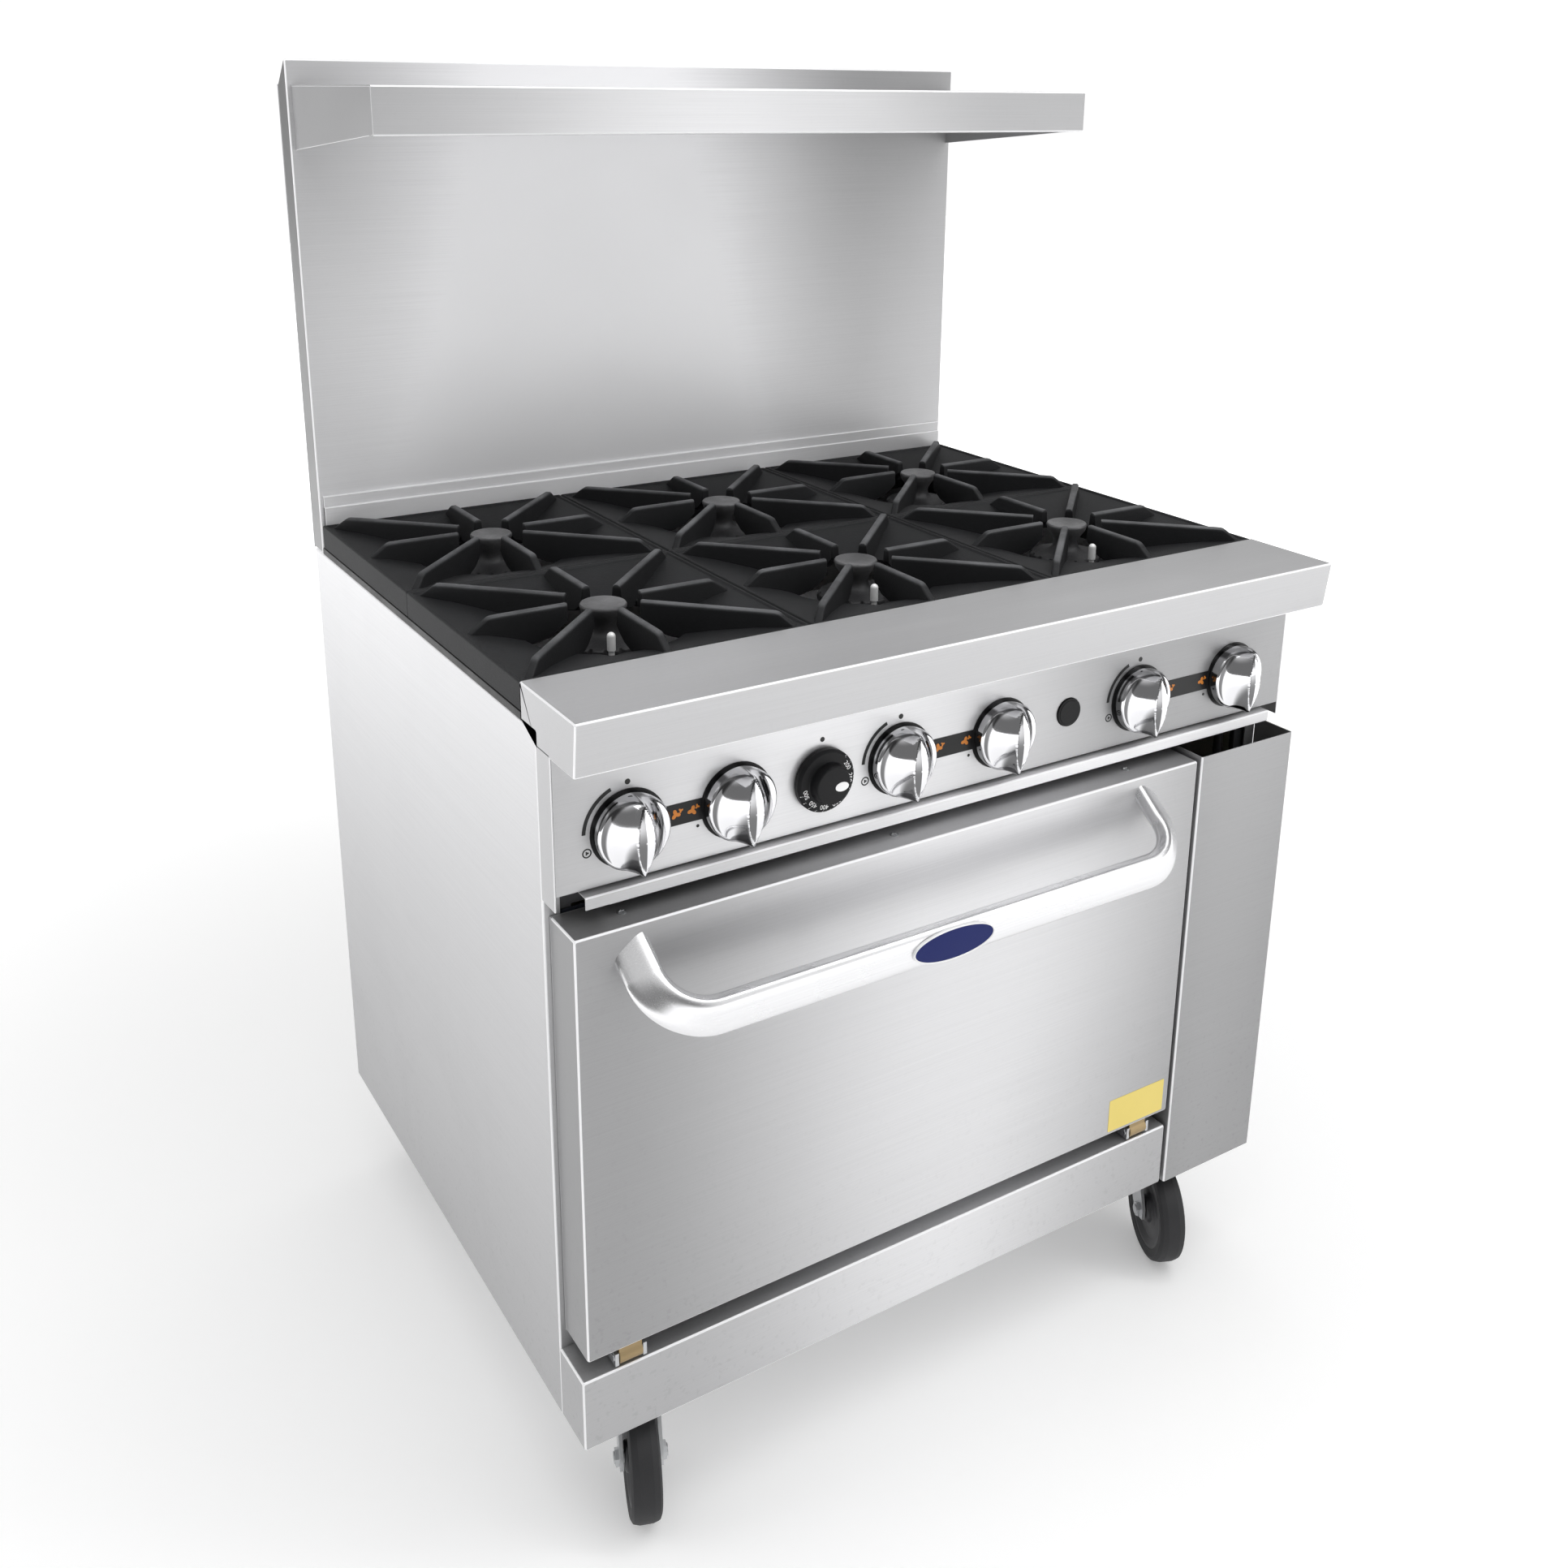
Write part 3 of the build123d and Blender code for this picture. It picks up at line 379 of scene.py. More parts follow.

# Cast skin: the pebbled face that sand leaves on iron, at two sizes, and a mask that grows with height. On the
# grates that mask lightens the rib tops, partly as wear from pans and partly as a painted highlight.
cast, cast_in, cast_out = effect("cast_skin", [("Pebbles", 420.0), ("Low", 0.9), ("High", 0.925)],
                                 ["Pebble", "Top_Wear_And_Highlight", "Stain"])
place = add(cast, "TexCoord")
apart = add(cast, "SeparateXYZ")
pebble = add(cast, "TexNoise", in_Detail=5.0, in_Roughness=0.7)
stain = add(cast, "TexNoise", in_Scale=18.0, in_Detail=5.0, in_Roughness=0.6)
join(cast, (place.outputs["Object"], apart.inputs[0]), (place.outputs["Object"], pebble.inputs["Vector"]),
     (cast_in["Pebbles"], pebble.inputs["Scale"]), (place.outputs["Object"], stain.inputs["Vector"]))
height = remapped(cast, apart.outputs["Z"], cast_in["Low"], cast_in["High"], 0.0, 1.0)
patchy = remapped(cast, stain.outputs["Fac"], 0.3, 0.7, 0.5, 1.0)
join(cast, (pebble.outputs["Fac"], cast_out["Pebble"]),
     (math_node(cast, "MULTIPLY", height, patchy), cast_out["Top_Wear_And_Highlight"]),
     (stain.outputs["Fac"], cast_out["Stain"]))
print("effects:", [g.name for g in bpy.data.node_groups])

# %% [markdown]
# ## The finishes
#
# Brushed stainless reflects more sharply along its scratches than across them, so its shader is
# anisotropic, and its base colour takes the broad bands as a painted reflection, with a painted highlight on its
# folds. Cast iron is nearly black, rough, and lighter at the top of each rib, partly from the rub of pans and
# partly as a painted highlight. Enamel, chrome, rubber and paint each need only one of the shared effects, with
# their own numbers, and the one on chrome paints its reflections.


# %% Material builders
def finish(name, colour, metallic, roughness, **sockets):
    """A material with a Principled BSDF whose constant values sit on its own sockets."""
    material = bpy.data.materials.new(name)
    material.use_nodes = True
    tree = material.node_tree
    shader = tree.nodes["Principled BSDF"]
    shader.inputs["Base Color"].default_value = (*colour, 1.0)
    shader.inputs["Metallic"].default_value = metallic
    shader.inputs["Roughness"].default_value = roughness
    for key, value in sockets.items():
        shader.inputs[key.replace("_", " ")].default_value = value
    return material, tree, shader


def use(tree, group, **values):
    node = tree.nodes.new("ShaderNodeGroup")
    node.node_tree = group
    for key, value in values.items():
        node.inputs[key].default_value = value
    return node.outputs


def tinted(tree, tone, colour):
    """A colour scaled by a changing tone."""
    node = add(tree, "VectorMath", operation="SCALE")
    node.inputs[0].default_value = colour
    tree.links.new(tone, node.inputs["Scale"])
    return node.outputs[0]


def bumped(tree, shader, height, distance, strength=1.0):
    bump = add(tree, "Bump", in_Strength=strength, in_Distance=distance)
    join(tree, (height, bump.inputs["Height"]), (bump.outputs[0], shader.inputs["Normal"]))


def brushed_steel(name, centre, reach, light, dark, rise=0.0, rough=0.34, stretch=(5.0, 900.0, 900.0),
                  anisotropy=0.55, tint=(0.985, 0.985, 1.0), metallic=0.6, folds=1.0, ends=1.0):
    """Brushed stainless sheet: painted reflection bands and grain in the colour, grain and smears in the
    roughness, and painted highlights on the folds. The tone goes to one, and the metallic value falls, where the
    fold highlight's mask is one, and ends darkens faces that face along x as a painted shade."""
    material, tree, shader = finish(name, (light, light, light), metallic, rough, Anisotropic=anisotropy)
    line = use(tree, grain, Stretch=stretch)
    # Painted reflection bands across x, and through Rise a painted shade that changes with height.
    band = use(tree, painted_bands, Centre=centre, Reach=reach, Light=light, Dark=dark, Rise=rise)
    smear = use(tree, smears)
    ripple = remapped(tree, line["Shade"], 0.3, 0.7, 0.965, 1.03, smooth=False)
    tone = math_node(tree, "MULTIPLY", band["Tone"], ripple)
    tone = math_node(tree, "MINIMUM", math_node(tree, "MULTIPLY_ADD", smear["Speck"], -0.05, tone), 1.0)
    if folds:
        # Painted highlight on the folds, and a painted shade, scaled by ends, on faces that face along x.
        wear_and_highlight = use(tree, painted_folds)
        tone = math_node(tree, "MULTIPLY", tone, remapped(tree, wear_and_highlight["Side"], 0.0, 1.0, 1.0, ends))
        fold = math_node(tree, "MULTIPLY", wear_and_highlight["Mask"], folds)
        tone = remapped(tree, fold, 0.0, 1.0, tone, 1.0, smooth=False)
        join(tree, (math_node(tree, "MULTIPLY_ADD", fold, -0.45, metallic), shader.inputs["Metallic"]))
    join(tree, (tinted(tree, tone, tint), shader.inputs["Base Color"]))
    matt = math_node(tree, "MULTIPLY_ADD", smear["Patch"], 0.05, rough - 0.03)
    matt = math_node(tree, "MULTIPLY_ADD", line["Shade"], 0.08, matt)
    join(tree, (matt, shader.inputs["Roughness"]))
    bumped(tree, shader, line["Height"], 0.00004, 0.35)
    return material


def cast_metal(name, colour, wear_and_highlight, low, high, pebbles=420.0, rough=0.62, depth=0.00035):
    """Cast iron: pebbled, darker in stains, and lighter towards the tops, which is partly wear from pans and
    partly a painted highlight.
    """
    material, tree, shader = finish(name, colour, 0.35, rough)
    skin = use(tree, cast, Pebbles=pebbles, Low=low, High=high)
    mixed = add(tree, "Mix", data_type="RGBA")
    mixed.inputs["A"].default_value, mixed.inputs["B"].default_value = (*colour, 1), (*wear_and_highlight, 1)
    shade = math_node(tree, "MULTIPLY_ADD", skin["Stain"], 0.7, 0.65)
    scaled = add(tree, "VectorMath", operation="SCALE")
    join(tree, (skin["Top_Wear_And_Highlight"], mixed.inputs["Factor"]), (mixed.outputs["Result"], scaled.inputs[0]),
         (shade, scaled.inputs["Scale"]), (scaled.outputs[0], shader.inputs["Base Color"]))
    join(tree, (math_node(tree, "MULTIPLY_ADD", skin["Top_Wear_And_Highlight"], -0.2, rough), shader.inputs["Roughness"]))
    bumped(tree, shader, skin["Pebble"], depth)
    return material


def coated(name, colour, roughness, metallic=0.0, mottled=0.12, scale_of_bump=0.0001, pebbles=300.0,
           **sockets):
    """Paint, enamel, plastic, rubber or plated steel: a little mottling and a fine skin."""
    material, tree, shader = finish(name, colour, metallic, roughness, **sockets)
    skin = use(tree, cast, Pebbles=pebbles)
    smear = use(tree, smears)
    tone = math_node(tree, "MULTIPLY_ADD", skin["Stain"], 2 * mottled, 1 - mottled)
    join(tree, (tinted(tree, tone, colour), shader.inputs["Base Color"]))
    join(tree, (math_node(tree, "MULTIPLY_ADD", smear["Patch"], 0.08, roughness), shader.inputs["Roughness"]))
    bumped(tree, shader, skin["Pebble"], scale_of_bump)
    return material


# %% The materials
# Each part gets its own copy of the steel, its band centre, reach and tones set to the light and shade that part
# receives, as painted reflection and painted shade. rise paints shade that changes with height, lighter low on the
# backguard and lighter high on the sides, and ends paints shade on the backguard's end faces.
STEEL = {
    "backguard": brushed_steel("steel_backguard", -0.12, 0.46, 1.92, 1.16, rise=-0.56, metallic=0.12,
                               ends=0.35),
    "shelf": brushed_steel("steel_shelf", -0.1, 0.45, 0.74, 0.42),
    "ledge": brushed_steel("steel_ledge", -0.1, 1.2, 0.56, 0.46, anisotropy=0.3),
    "panel": brushed_steel("steel_panel", -0.18, 0.42, 0.78, 0.36),
    "door": brushed_steel("steel_door", 0.0, 0.42, 0.77, 0.35),
    "kick": brushed_steel("steel_kick", -0.02, 0.36, 0.84, 0.47),
    "filler": brushed_steel("steel_filler", 0.36, 0.2, 0.38, 0.32),
    "side": brushed_steel("steel_side", 0.0, 2.0, 0.42, 0.42, rise=0.36, stretch=(900.0, 5.0, 900.0)),
    "tray": brushed_steel("steel_tray", 0.1, 0.6, 0.8, 0.5),
    "inner": brushed_steel("steel_inner", 0.0, 0.6, 0.55, 0.5, rough=0.42, folds=0.0),
    "handle": brushed_steel("steel_handle", -0.1, 0.6, 0.86, 0.80, rough=0.25, anisotropy=0.2, metallic=0.92,
                            folds=0.0),
}
# The grate iron turns lighter at the rib tops, partly as wear from pans and partly as a painted highlight.
IRON = cast_metal("cast_iron", (0.011, 0.0115, 0.013), (0.15, 0.153, 0.16), 0.9205, 0.9265)
BURNER_IRON = cast_metal("burner_iron", (0.03, 0.03, 0.032), (0.18, 0.18, 0.185), 0.885, 0.915, rough=0.5)
DARK_IRON = cast_metal("dark_iron", (0.025, 0.025, 0.026), (0.04, 0.04, 0.04), 0.7, 0.9)
CHROME, tree, shader = finish("knob_chrome", (0.86, 0.86, 0.88), 1.0, 0.07)
# The chrome's colour carries painted reflections: light and dark streaks that follow the normal.
painted_streak, smear = use(tree, painted_streaks), use(tree, smears)
join(tree, (tinted(tree, painted_streak["Tone"], (0.86, 0.86, 0.88)), shader.inputs["Base Color"]),
     (math_node(tree, "MULTIPLY_ADD", smear["Patch"], 0.06, 0.07), shader.inputs["Roughness"]))
BRIGHT = coated("pilot_steel", (0.92, 0.92, 0.92), 0.3, metallic=0.15, mottled=0.03)
ZINC = coated("zinc", (0.55, 0.56, 0.57), 0.36, metallic=1.0, mottled=0.14)
BRASS = coated("brass", (0.36, 0.27, 0.15), 0.42, metallic=1.0, mottled=0.12)
FRAME_STEEL = coated("frame_steel", (0.10, 0.10, 0.105), 0.5, metallic=0.5)
BLACK_ENAMEL = coated("black_enamel", (0.003, 0.003, 0.0035), 0.35, Coat_Weight=0.1, mottled=0.05,
                      Specular_IOR_Level=0.3)
OVEN_ENAMEL = coated("oven_enamel", (0.03, 0.034, 0.045), 0.22, Coat_Weight=0.6, mottled=0.25)
WOOL = coated("mineral_wool", (0.5, 0.44, 0.3), 0.95, mottled=0.3, scale_of_bump=0.002, Sheen_Weight=0.3)
BRAID = coated("gasket_braid", (0.22, 0.22, 0.22), 0.85, mottled=0.3, scale_of_bump=0.001, pebbles=700.0)
NAVY = coated("badge_enamel", (0.008, 0.016, 0.12), 0.35, Specular_IOR_Level=0.2, mottled=0.06)
BLACK_PLASTIC = coated("dial_plastic", (0.006, 0.006, 0.007), 0.45, mottled=0.08, Specular_IOR_Level=0.22)
RUBBER = coated("wheel_rubber", (0.02, 0.02, 0.022), 0.6, mottled=0.15, scale_of_bump=0.0002)
CORE = coated("wheel_core", (0.035, 0.035, 0.038), 0.4, mottled=0.1)
WHITE_PRINT = coated("white_print", (0.95, 0.95, 0.95), 0.5, mottled=0.03)
BLACK_PRINT = coated("black_print", (0.01, 0.01, 0.01), 0.45, mottled=0.05)
ORANGE_PRINT = coated("orange_print", (0.62, 0.20, 0.015), 0.45, mottled=0.05)
YELLOW_PRINT = coated("yellow_print", (0.85, 0.68, 0.18), 0.5, mottled=0.03)
print("materials:", len(bpy.data.materials))

# %% [markdown]
# ## Camera and studio
#
# The camera stands ahead of the left front corner, a little above the cooktop, and looks down at the
# range. A vertical shift of the lens lowers the frame without tilting the view. The room is a pale floor
# under an even white sky with one brighter and one darker side, which gives flat steel part of its soft
# bands, and soft boxes overhead and at both sides draw bright lines along the bends. The rest of the bands and of
# the bend lines is painted into the steel's colour.


# %% Camera
def aimed_camera(position, yaw, pitch, roll, lens, shift_x, shift_y):
    """Camera from a heading (yaw from +Y towards +X), a downward pitch and a roll, in degrees."""
    eye = bpy.data.objects.new("camera", bpy.data.cameras.new("camera"))
    scene.collection.objects.link(eye)
    eye.data.lens, eye.data.sensor_width = lens, 36.0
    eye.data.shift_x, eye.data.shift_y = shift_x, shift_y
    turn = Matrix.Rotation(math.radians(-yaw), 4, "Z") @ Matrix.Rotation(math.radians(90 - pitch), 4, "X")
    eye.matrix_world = Matrix.Translation(position) @ turn @ Matrix.Rotation(math.radians(roll), 4, "Z")
    scene.camera = eye
    return eye


aimed_camera((-0.9391, -1.45945, 1.4069), 31.89, 16.78, 0.49, 36.05, 0.0003, -0.1386)
scene.view_settings.view_transform = "Standard"


# %% Light
def soft_box(name, place, target, width, height, power, colour=(1, 1, 1)):
    """Rectangular soft light at a place, turned to face a target."""
    lamp = bpy.data.lights.new(name, "AREA")
    lamp.shape, lamp.size, lamp.size_y, lamp.energy, lamp.color = "RECTANGLE", width, height, power, colour
    holder = bpy.data.objects.new(name, lamp)
    away = np.asarray(place, float) - np.asarray(target, float)
    away /= np.linalg.norm(away)
    side = np.cross((0, 0, 1), away) if abs(away[2]) < 0.99 else np.array([1.0, 0, 0])
    side /= np.linalg.norm(side)
    turn = np.eye(4)
    turn[:3, :3] = np.stack([side, np.cross(away, side), away], 1)
    holder.matrix_world = Matrix.Translation(place) @ Matrix(turn.tolist())
    holder.visible_camera = False
    scene.collection.objects.link(holder)


soft_box("box_overhead", (0.2, -0.6, 3.6), (0, 0, 0.6), 4.0, 3.4, 40)
soft_box("box_right", (2.4, -2.6, 1.7), (0.1, -0.1, 0.7), 1.4, 3.4, 14)
soft_box("box_left", (-3.2, 0.9, 2.0), (-0.3, 0.1, 0.7), 1.6, 2.6, 22)
soft_box("strip_high", (1.4, -1.4, 3.2), (0, 0, 0.8), 0.5, 3.0, 16)

sky = bpy.data.worlds.new("studio")
scene.world = sky
sky.use_nodes = True
tree = sky.node_tree
tree.nodes.clear()
look = add(tree, "TexCoord")
apart = add(tree, "SeparateXYZ")
join(tree, (look.outputs["Generated"], apart.inputs[0]))
level_x = math_node(tree, "MULTIPLY", apart.outputs["X"], apart.outputs["X"])
level_y = math_node(tree, "MULTIPLY_ADD", apart.outputs["Y"], apart.outputs["Y"], 1e-4)
flat = math_node(tree, "SQRT", math_node(tree, "ADD", level_x, level_y))
facing = math_node(tree, "MULTIPLY_ADD", apart.outputs["X"], math.sin(math.radians(34)),
                   math_node(tree, "MULTIPLY", apart.outputs["Y"], -math.cos(math.radians(34))))
band = remapped(tree, math_node(tree, "DIVIDE", facing, flat), 0.72, 0.99, 0.20, 0.95)
behind = remapped(tree, apart.outputs["Y"], 0.0, 0.6, 0.0, 0.4)
wall = math_node(tree, "ADD", band, behind)
high = remapped(tree, apart.outputs["Z"], 0.35, 0.85, 0.0, 1.0)
blend = add(tree, "Mix", data_type="FLOAT")
blend.inputs["B"].default_value = 0.85
join(tree, (high, blend.inputs["Factor"]), (wall, blend.inputs["A"]))
glow = add(tree, "Background")
white = add(tree, "Background", in_Strength=1.3)
seen = add(tree, "LightPath")
choose = add(tree, "MixShader")
out = add(tree, "OutputWorld")
join(tree, (blend.outputs["Result"], glow.inputs["Strength"]),
     (seen.outputs["Is Camera Ray"], choose.inputs["Fac"]), (glow.outputs[0], choose.inputs[1]),
     (white.outputs[0], choose.inputs[2]), (choose.outputs[0], out.inputs["Surface"]))

floor_material, floor_tree, floor_shader = finish("studio_floor", (0.86, 0.86, 0.86), 0.0, 0.9)
floor_shader.inputs["Emission Color"].default_value = (1, 1, 1, 1)
place = add(floor_tree, "TexCoord")
far = add(floor_tree, "VectorMath", operation="LENGTH")
join(floor_tree, (place.outputs["Object"], far.inputs[0]),
     (remapped(floor_tree, far.outputs["Value"], 0.9, 4.2, 0.24, 1.0),
      floor_shader.inputs["Emission Strength"]))
span = np.linspace(-1, 1, 9)
across, along = np.meshgrid(span * 14, span * 14)
floor_points = np.stack([across, along, 0 * across], -1)
floor_mesh = mesh_of("studio_floor", [woven(floor_points, wrap_columns=False)])
floor = bpy.data.objects.new("studio_floor", floor_mesh)
scene.collection.objects.link(floor)
floor.data.materials.append(floor_material)
floor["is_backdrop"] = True

# %% [markdown]
# ## The body's sheets
#
# The sides, door, kick plate and tray are pans: one flat face with its edges folded back. A box with
# bevelled edges would look the same from far off, but it would have no hollow behind it and no flange.
# So each pan is grown from its face outline: round the bend, then back along the flange, and the wall
# takes its 1.5 mm thickness to the inside.

# %% Side panels
SHEET, FOLD, SHARP_FOLD = 1.5 * MM, 2.8 * MM, 2.6 * MM
side = faces_of("side_panels")
FLANGE = 17 * MM
grids = [pan(side[2], side[3], side[4], side[5], x, x - math.copysign(FLANGE, x), SHARP_FOLD, "cab")
         for x in (side[0], side[1])]
finished("side_panels_sheet", grids, "range", STEEL["side"], ["side_panels"],
         thickness=SHEET)
print("side panels", [round(v, 3) for v in side])

# %% Door pan
grid = pan(DOOR[0], DOOR[1], DOOR[4], DOOR[5], DOOR[2], DOOR[3], FOLD, "acb")
finished("door_pan", [grid], "oven_door", STEEL["door"], ["door_skin"],
         thickness=SHEET)

# %% Kick plate
kick = faces_of("kick_plate")
grid = pan(kick[0], kick[1], kick[4], kick[5], kick[2], kick[3], FOLD, "acb")
finished("kick_pan", [grid], "range", STEEL["kick"], ["kick_plate"], thickness=SHEET)

# %% Filler column: a U of sheet carried upwards, open at its top, with a plate for its foot
fill = faces_of("filler_panel")
ends = rounded([(fill[0], fill[3]), (fill[0], fill[2]), (fill[1], fill[2]), (fill[1], fill[3])], FOLD,
               closed=False)
foot = rounded([(fill[0] + SHEET, fill[2] + SHEET), (fill[1] - SHEET, fill[2] + SHEET),
                (fill[1] - SHEET, fill[3]), (fill[0] + SHEET, fill[3])], 1.2 * MM)
finished("filler_column", [sheet_strip(ends, fill[4], fill[5], "abc")], "range",
         STEEL["filler"], ["filler_panel"], thickness=SHEET, bevel=0.4 * MM)
finished("filler_foot", [rolled(foot, fill[4] + 0.1 * MM, fill[4] + SHEET, 0.4 * MM, "abc")],
         "range", STEEL["filler"])
print("filler column", [round(v, 3) for v in fill])

# %% [markdown]
# ## Ledge, control panel and tray
#
# The ledge is a box section of sheet with its front leaning in by 6 mm, and a cheek at each end that runs
# on down beside the control panel. The control panel keeps the holes of its CAD node: a copy of the node
# is welded, its flat triangles joined, and its edges softened. The crumb tray is a shallow pan open at its
# top, with a lip along its front that hides the gap below the control panel.


# %% A softened copy of a CAD node
def softened(name, node, body, material, width, flat=0.6):
    """Copy of a CAD node: equal corners welded, triangles of one plane joined, edges bevelled."""
    source = frame["nodes"][node].data
    co = np.empty(len(source.vertices) * 3)
    source.vertices.foreach_get("co", co)
    corners, where = np.unique(np.round(co.reshape(-1, 3), 6), axis=0, return_inverse=True)
    used = np.empty(len(source.loops), int)
    source.loops.foreach_get("vertex_index", used)
    triangles = where.reshape(-1)[used].reshape(-1, 3)
    whole = np.all(triangles != np.roll(triangles, 1, axis=1), axis=1)
    mesh = bpy.data.meshes.new(name)
    mesh.from_pydata(corners.tolist(), [], triangles[whole].tolist())
    shape = bmesh.new()
    shape.from_mesh(mesh)
    bmesh.ops.dissolve_limit(shape, angle_limit=math.radians(flat), verts=shape.verts, edges=shape.edges)
    shape.to_mesh(mesh)
    shape.free()
    return finished(name, mesh, body, material, [node], bevel=width)


# %% Front ledge and its cheeks
low, high = LEDGE[4], LEDGE[5]
lip = high - 51.5 * MM
nose_back, sheet_low, box_back = LEDGE[2] + 115.8 * MM, lip + 14.9 * MM, LEDGE[2] + 83.7 * MM
nose = rounded([(LEDGE[2], high), (nose_back, high), (nose_back, sheet_low), (box_back, sheet_low),
                (box_back, lip), (LEDGE[2] + 6 * MM, lip)], np.array([2.6, 0.6, 0.6, 0.6, 1, 2.6]) * MM)
cheek = rounded([(PANEL[2] - 0.2 * MM, lip + 4 * MM), (PANEL[2] - 0.2 * MM, low), (side[2] - 0.2 * MM, low),
                 (side[2] - 0.2 * MM, lip + 4 * MM)], 1.0 * MM)
grids = [rolled(nose, LEDGE[0], LEDGE[1], 2.4 * MM, "cab")]
grids += [rolled(cheek, x, x + 1.5 * MM, 0.7 * MM, "cab") for x in (LEDGE[0], LEDGE[1] - 1.5 * MM)]
finished("ledge_sheet", grids, "range", STEEL["ledge"], ["front_ledge"])
softened("control_panel_sheet", "control_panel", "range", STEEL["panel"], 0.6 * MM)
print("ledge", [round(v, 3) for v in LEDGE])

# %% Crumb tray
tray = faces_of("crumb_tray")
TRAY_SHEET, TRAY_REACH = 1.2 * MM, 404 * MM
body_front = tray[2] + 14 * MM
bottom, top = tray[4], tray[5] - TRAY_SHEET
grid = pan(-TRAY_REACH, TRAY_REACH, body_front, tray[3], bottom, top, 3 * MM, "abc")
turn_down = np.array([(body_front + TRAY_SHEET, tray[5]), (tray[2], tray[5]), (tray[2], tray[5] - 12.2 * MM)])
turn_down = rounded(turn_down, 2.4 * MM, closed=False)
hung = sheet_strip(turn_down, tray[0], tray[1], "cab")
finished("tray_pan", [grid], "tray", STEEL["tray"], ["crumb_tray"], thickness=TRAY_SHEET)
finished("tray_lip", [hung], "tray", STEEL["tray"], thickness=TRAY_SHEET,
         bevel=0.3 * MM)
print("tray", [round(v, 3) for v in tray])

# %% [markdown]
# ## Backguard and high shelf
#
# The backguard is a tall box of sheet whose top slopes down to the back, so that nothing can be stood on
# it. Two thin trims step forward at its foot, behind the grates. The shelf is one sheet with a deep
# folded front, held by an end plate at each side that is deeper at the wall.

# %% Backguard
guard = faces_of("backguard_front")
rear = faces_of("backguard_rear")
face = guard[2] + 6 * MM
corners = np.array([(face, guard[4]), (rear[2], guard[4]), (rear[2], rear[5]), (face, guard[5])])
corners[3, 1] += guard[5] - rounded(corners, SHARP_FOLD)[:, 1].max()
sides = rounded(corners, SHARP_FOLD)
finished("backguard_box", [rolled(sides, guard[0], guard[1], 2.6 * MM, "cab")], "range",
         STEEL["backguard"], ["backguard_front"])
trims = []
trim_foot = guard[4] + 9 * MM
for proud, height in ((6.0, 0.934), (3.4, 0.947)):
    line = rounded([(face - proud * MM, trim_foot), (face, trim_foot), (face, height),
                    (face - proud * MM, height)], [0.5 * MM, 0.5 * MM, 0.5 * MM, 1.4 * MM])
    trims.append(rolled(line, guard[0] + 5 * MM, guard[1] - 5 * MM, 0.5 * MM, "cab"))
finished("backguard_trims", trims, "range", STEEL["backguard"])

# %% High shelf and its end plates
shelf = faces_of("high_shelf")
ends = faces_of("shelf_end_plates")
line = rounded([(shelf[3], shelf[5]), (shelf[2], shelf[5]), (shelf[2], shelf[4]),
                (shelf[2] + 14 * MM, shelf[4])], SHARP_FOLD, closed=False)
finished("shelf_sheet", [sheet_strip(line, shelf[0], shelf[1], "cab")], "range",
         STEEL["shelf"], ["high_shelf"], thickness=SHEET, bevel=0.4 * MM)
front = shelf[2] + SHEET + 0.1 * MM
plate = rounded([(front, shelf[5] - SHEET), (front, shelf[4] + SHEET), (front + 15 * MM, shelf[4] + 0.2 * MM),
                 (shelf[3], ends[4]), (shelf[3], shelf[5] - SHEET)], 0.8 * MM)
grids = [rolled(plate, x, x + SHEET, 0.6 * MM, "cab") for x in (shelf[0], shelf[1] - SHEET)]
finished("shelf_ends", grids, "range", STEEL["shelf"], ["shelf_end_plates"])
print("shelf", [round(v, 3) for v in shelf])

# %% [markdown]
# ## The door's handle
#
# The handle is a flattened tube bent twice, its posts rising to the door. A curve object with a round
# bevel could not stay flattened through the bends, so a superellipse is carried along the bent line with
# its long side kept upright on the bar. On the posts that side has turned about the line by up to 24
# degrees more, which shows the flat of the tube towards the hand.


# %% Handle
handle = faces_of("door_handle")
HALF_DEEP, HALF_TALL = 9.0 * MM, 18.5 * MM
bar_y, bar_z = handle[2] + HALF_DEEP, handle[4] + HALF_TALL
bar_x, BAR_BEND, SPLAY = (-0.392, 0.228), 54 * MM, 3.5 * MM
TWIST, SQUARENESS = math.radians(24), 3.6
rise = 45.0 / 63.5
root_y = DOOR[2] + 10 * MM
root_z = bar_z + rise * (root_y - bar_y)
route = rounded([(bar_x[0] - SPLAY, root_y, root_z), (bar_x[0], bar_y, bar_z), (bar_x[1], bar_y, bar_z),
                 (bar_x[1] + SPLAY, root_y, root_z)], BAR_BEND, closed=False, steps=28)
straight = np.linspace(0, 1, 12)[1:-1, None]
middle = len(route) // 2
bar = route[middle - 1] * (1 - straight) + route[middle] * straight
route = np.concatenate([route[:middle], bar, route[middle:]])
along = np.gradient(route, axis=0)
along /= np.linalg.norm(along, axis=1)[:, None]
tilt = math.atan(rise)
upright = np.array([0, -math.sin(tilt), math.cos(tilt)])
lean = tilt + TWIST * (1 - np.abs(along[:, :1])) ** 1.5
tall = upright * np.cos(lean) + np.cross(upright, along) * np.sin(lean)
tall /= np.linalg.norm(tall, axis=1)[:, None]
deep = np.cross(along, tall)
turn = np.arange(56) * 2 * math.pi / 56
power = 2 / SQUARENESS
oval_a = HALF_TALL * np.sign(np.cos(turn)) * np.abs(np.cos(turn)) ** power
oval_b = HALF_DEEP * np.sign(np.sin(turn)) * np.abs(np.sin(turn)) ** power
points = route[:, None] + tall[:, None] * oval_a[None, :, None] + deep[:, None] * oval_b[None, :, None]
finished("handle_tube", [woven(points, caps=(0, -1))], "oven_door", STEEL["handle"],
         ["door_handle"], crease=70)
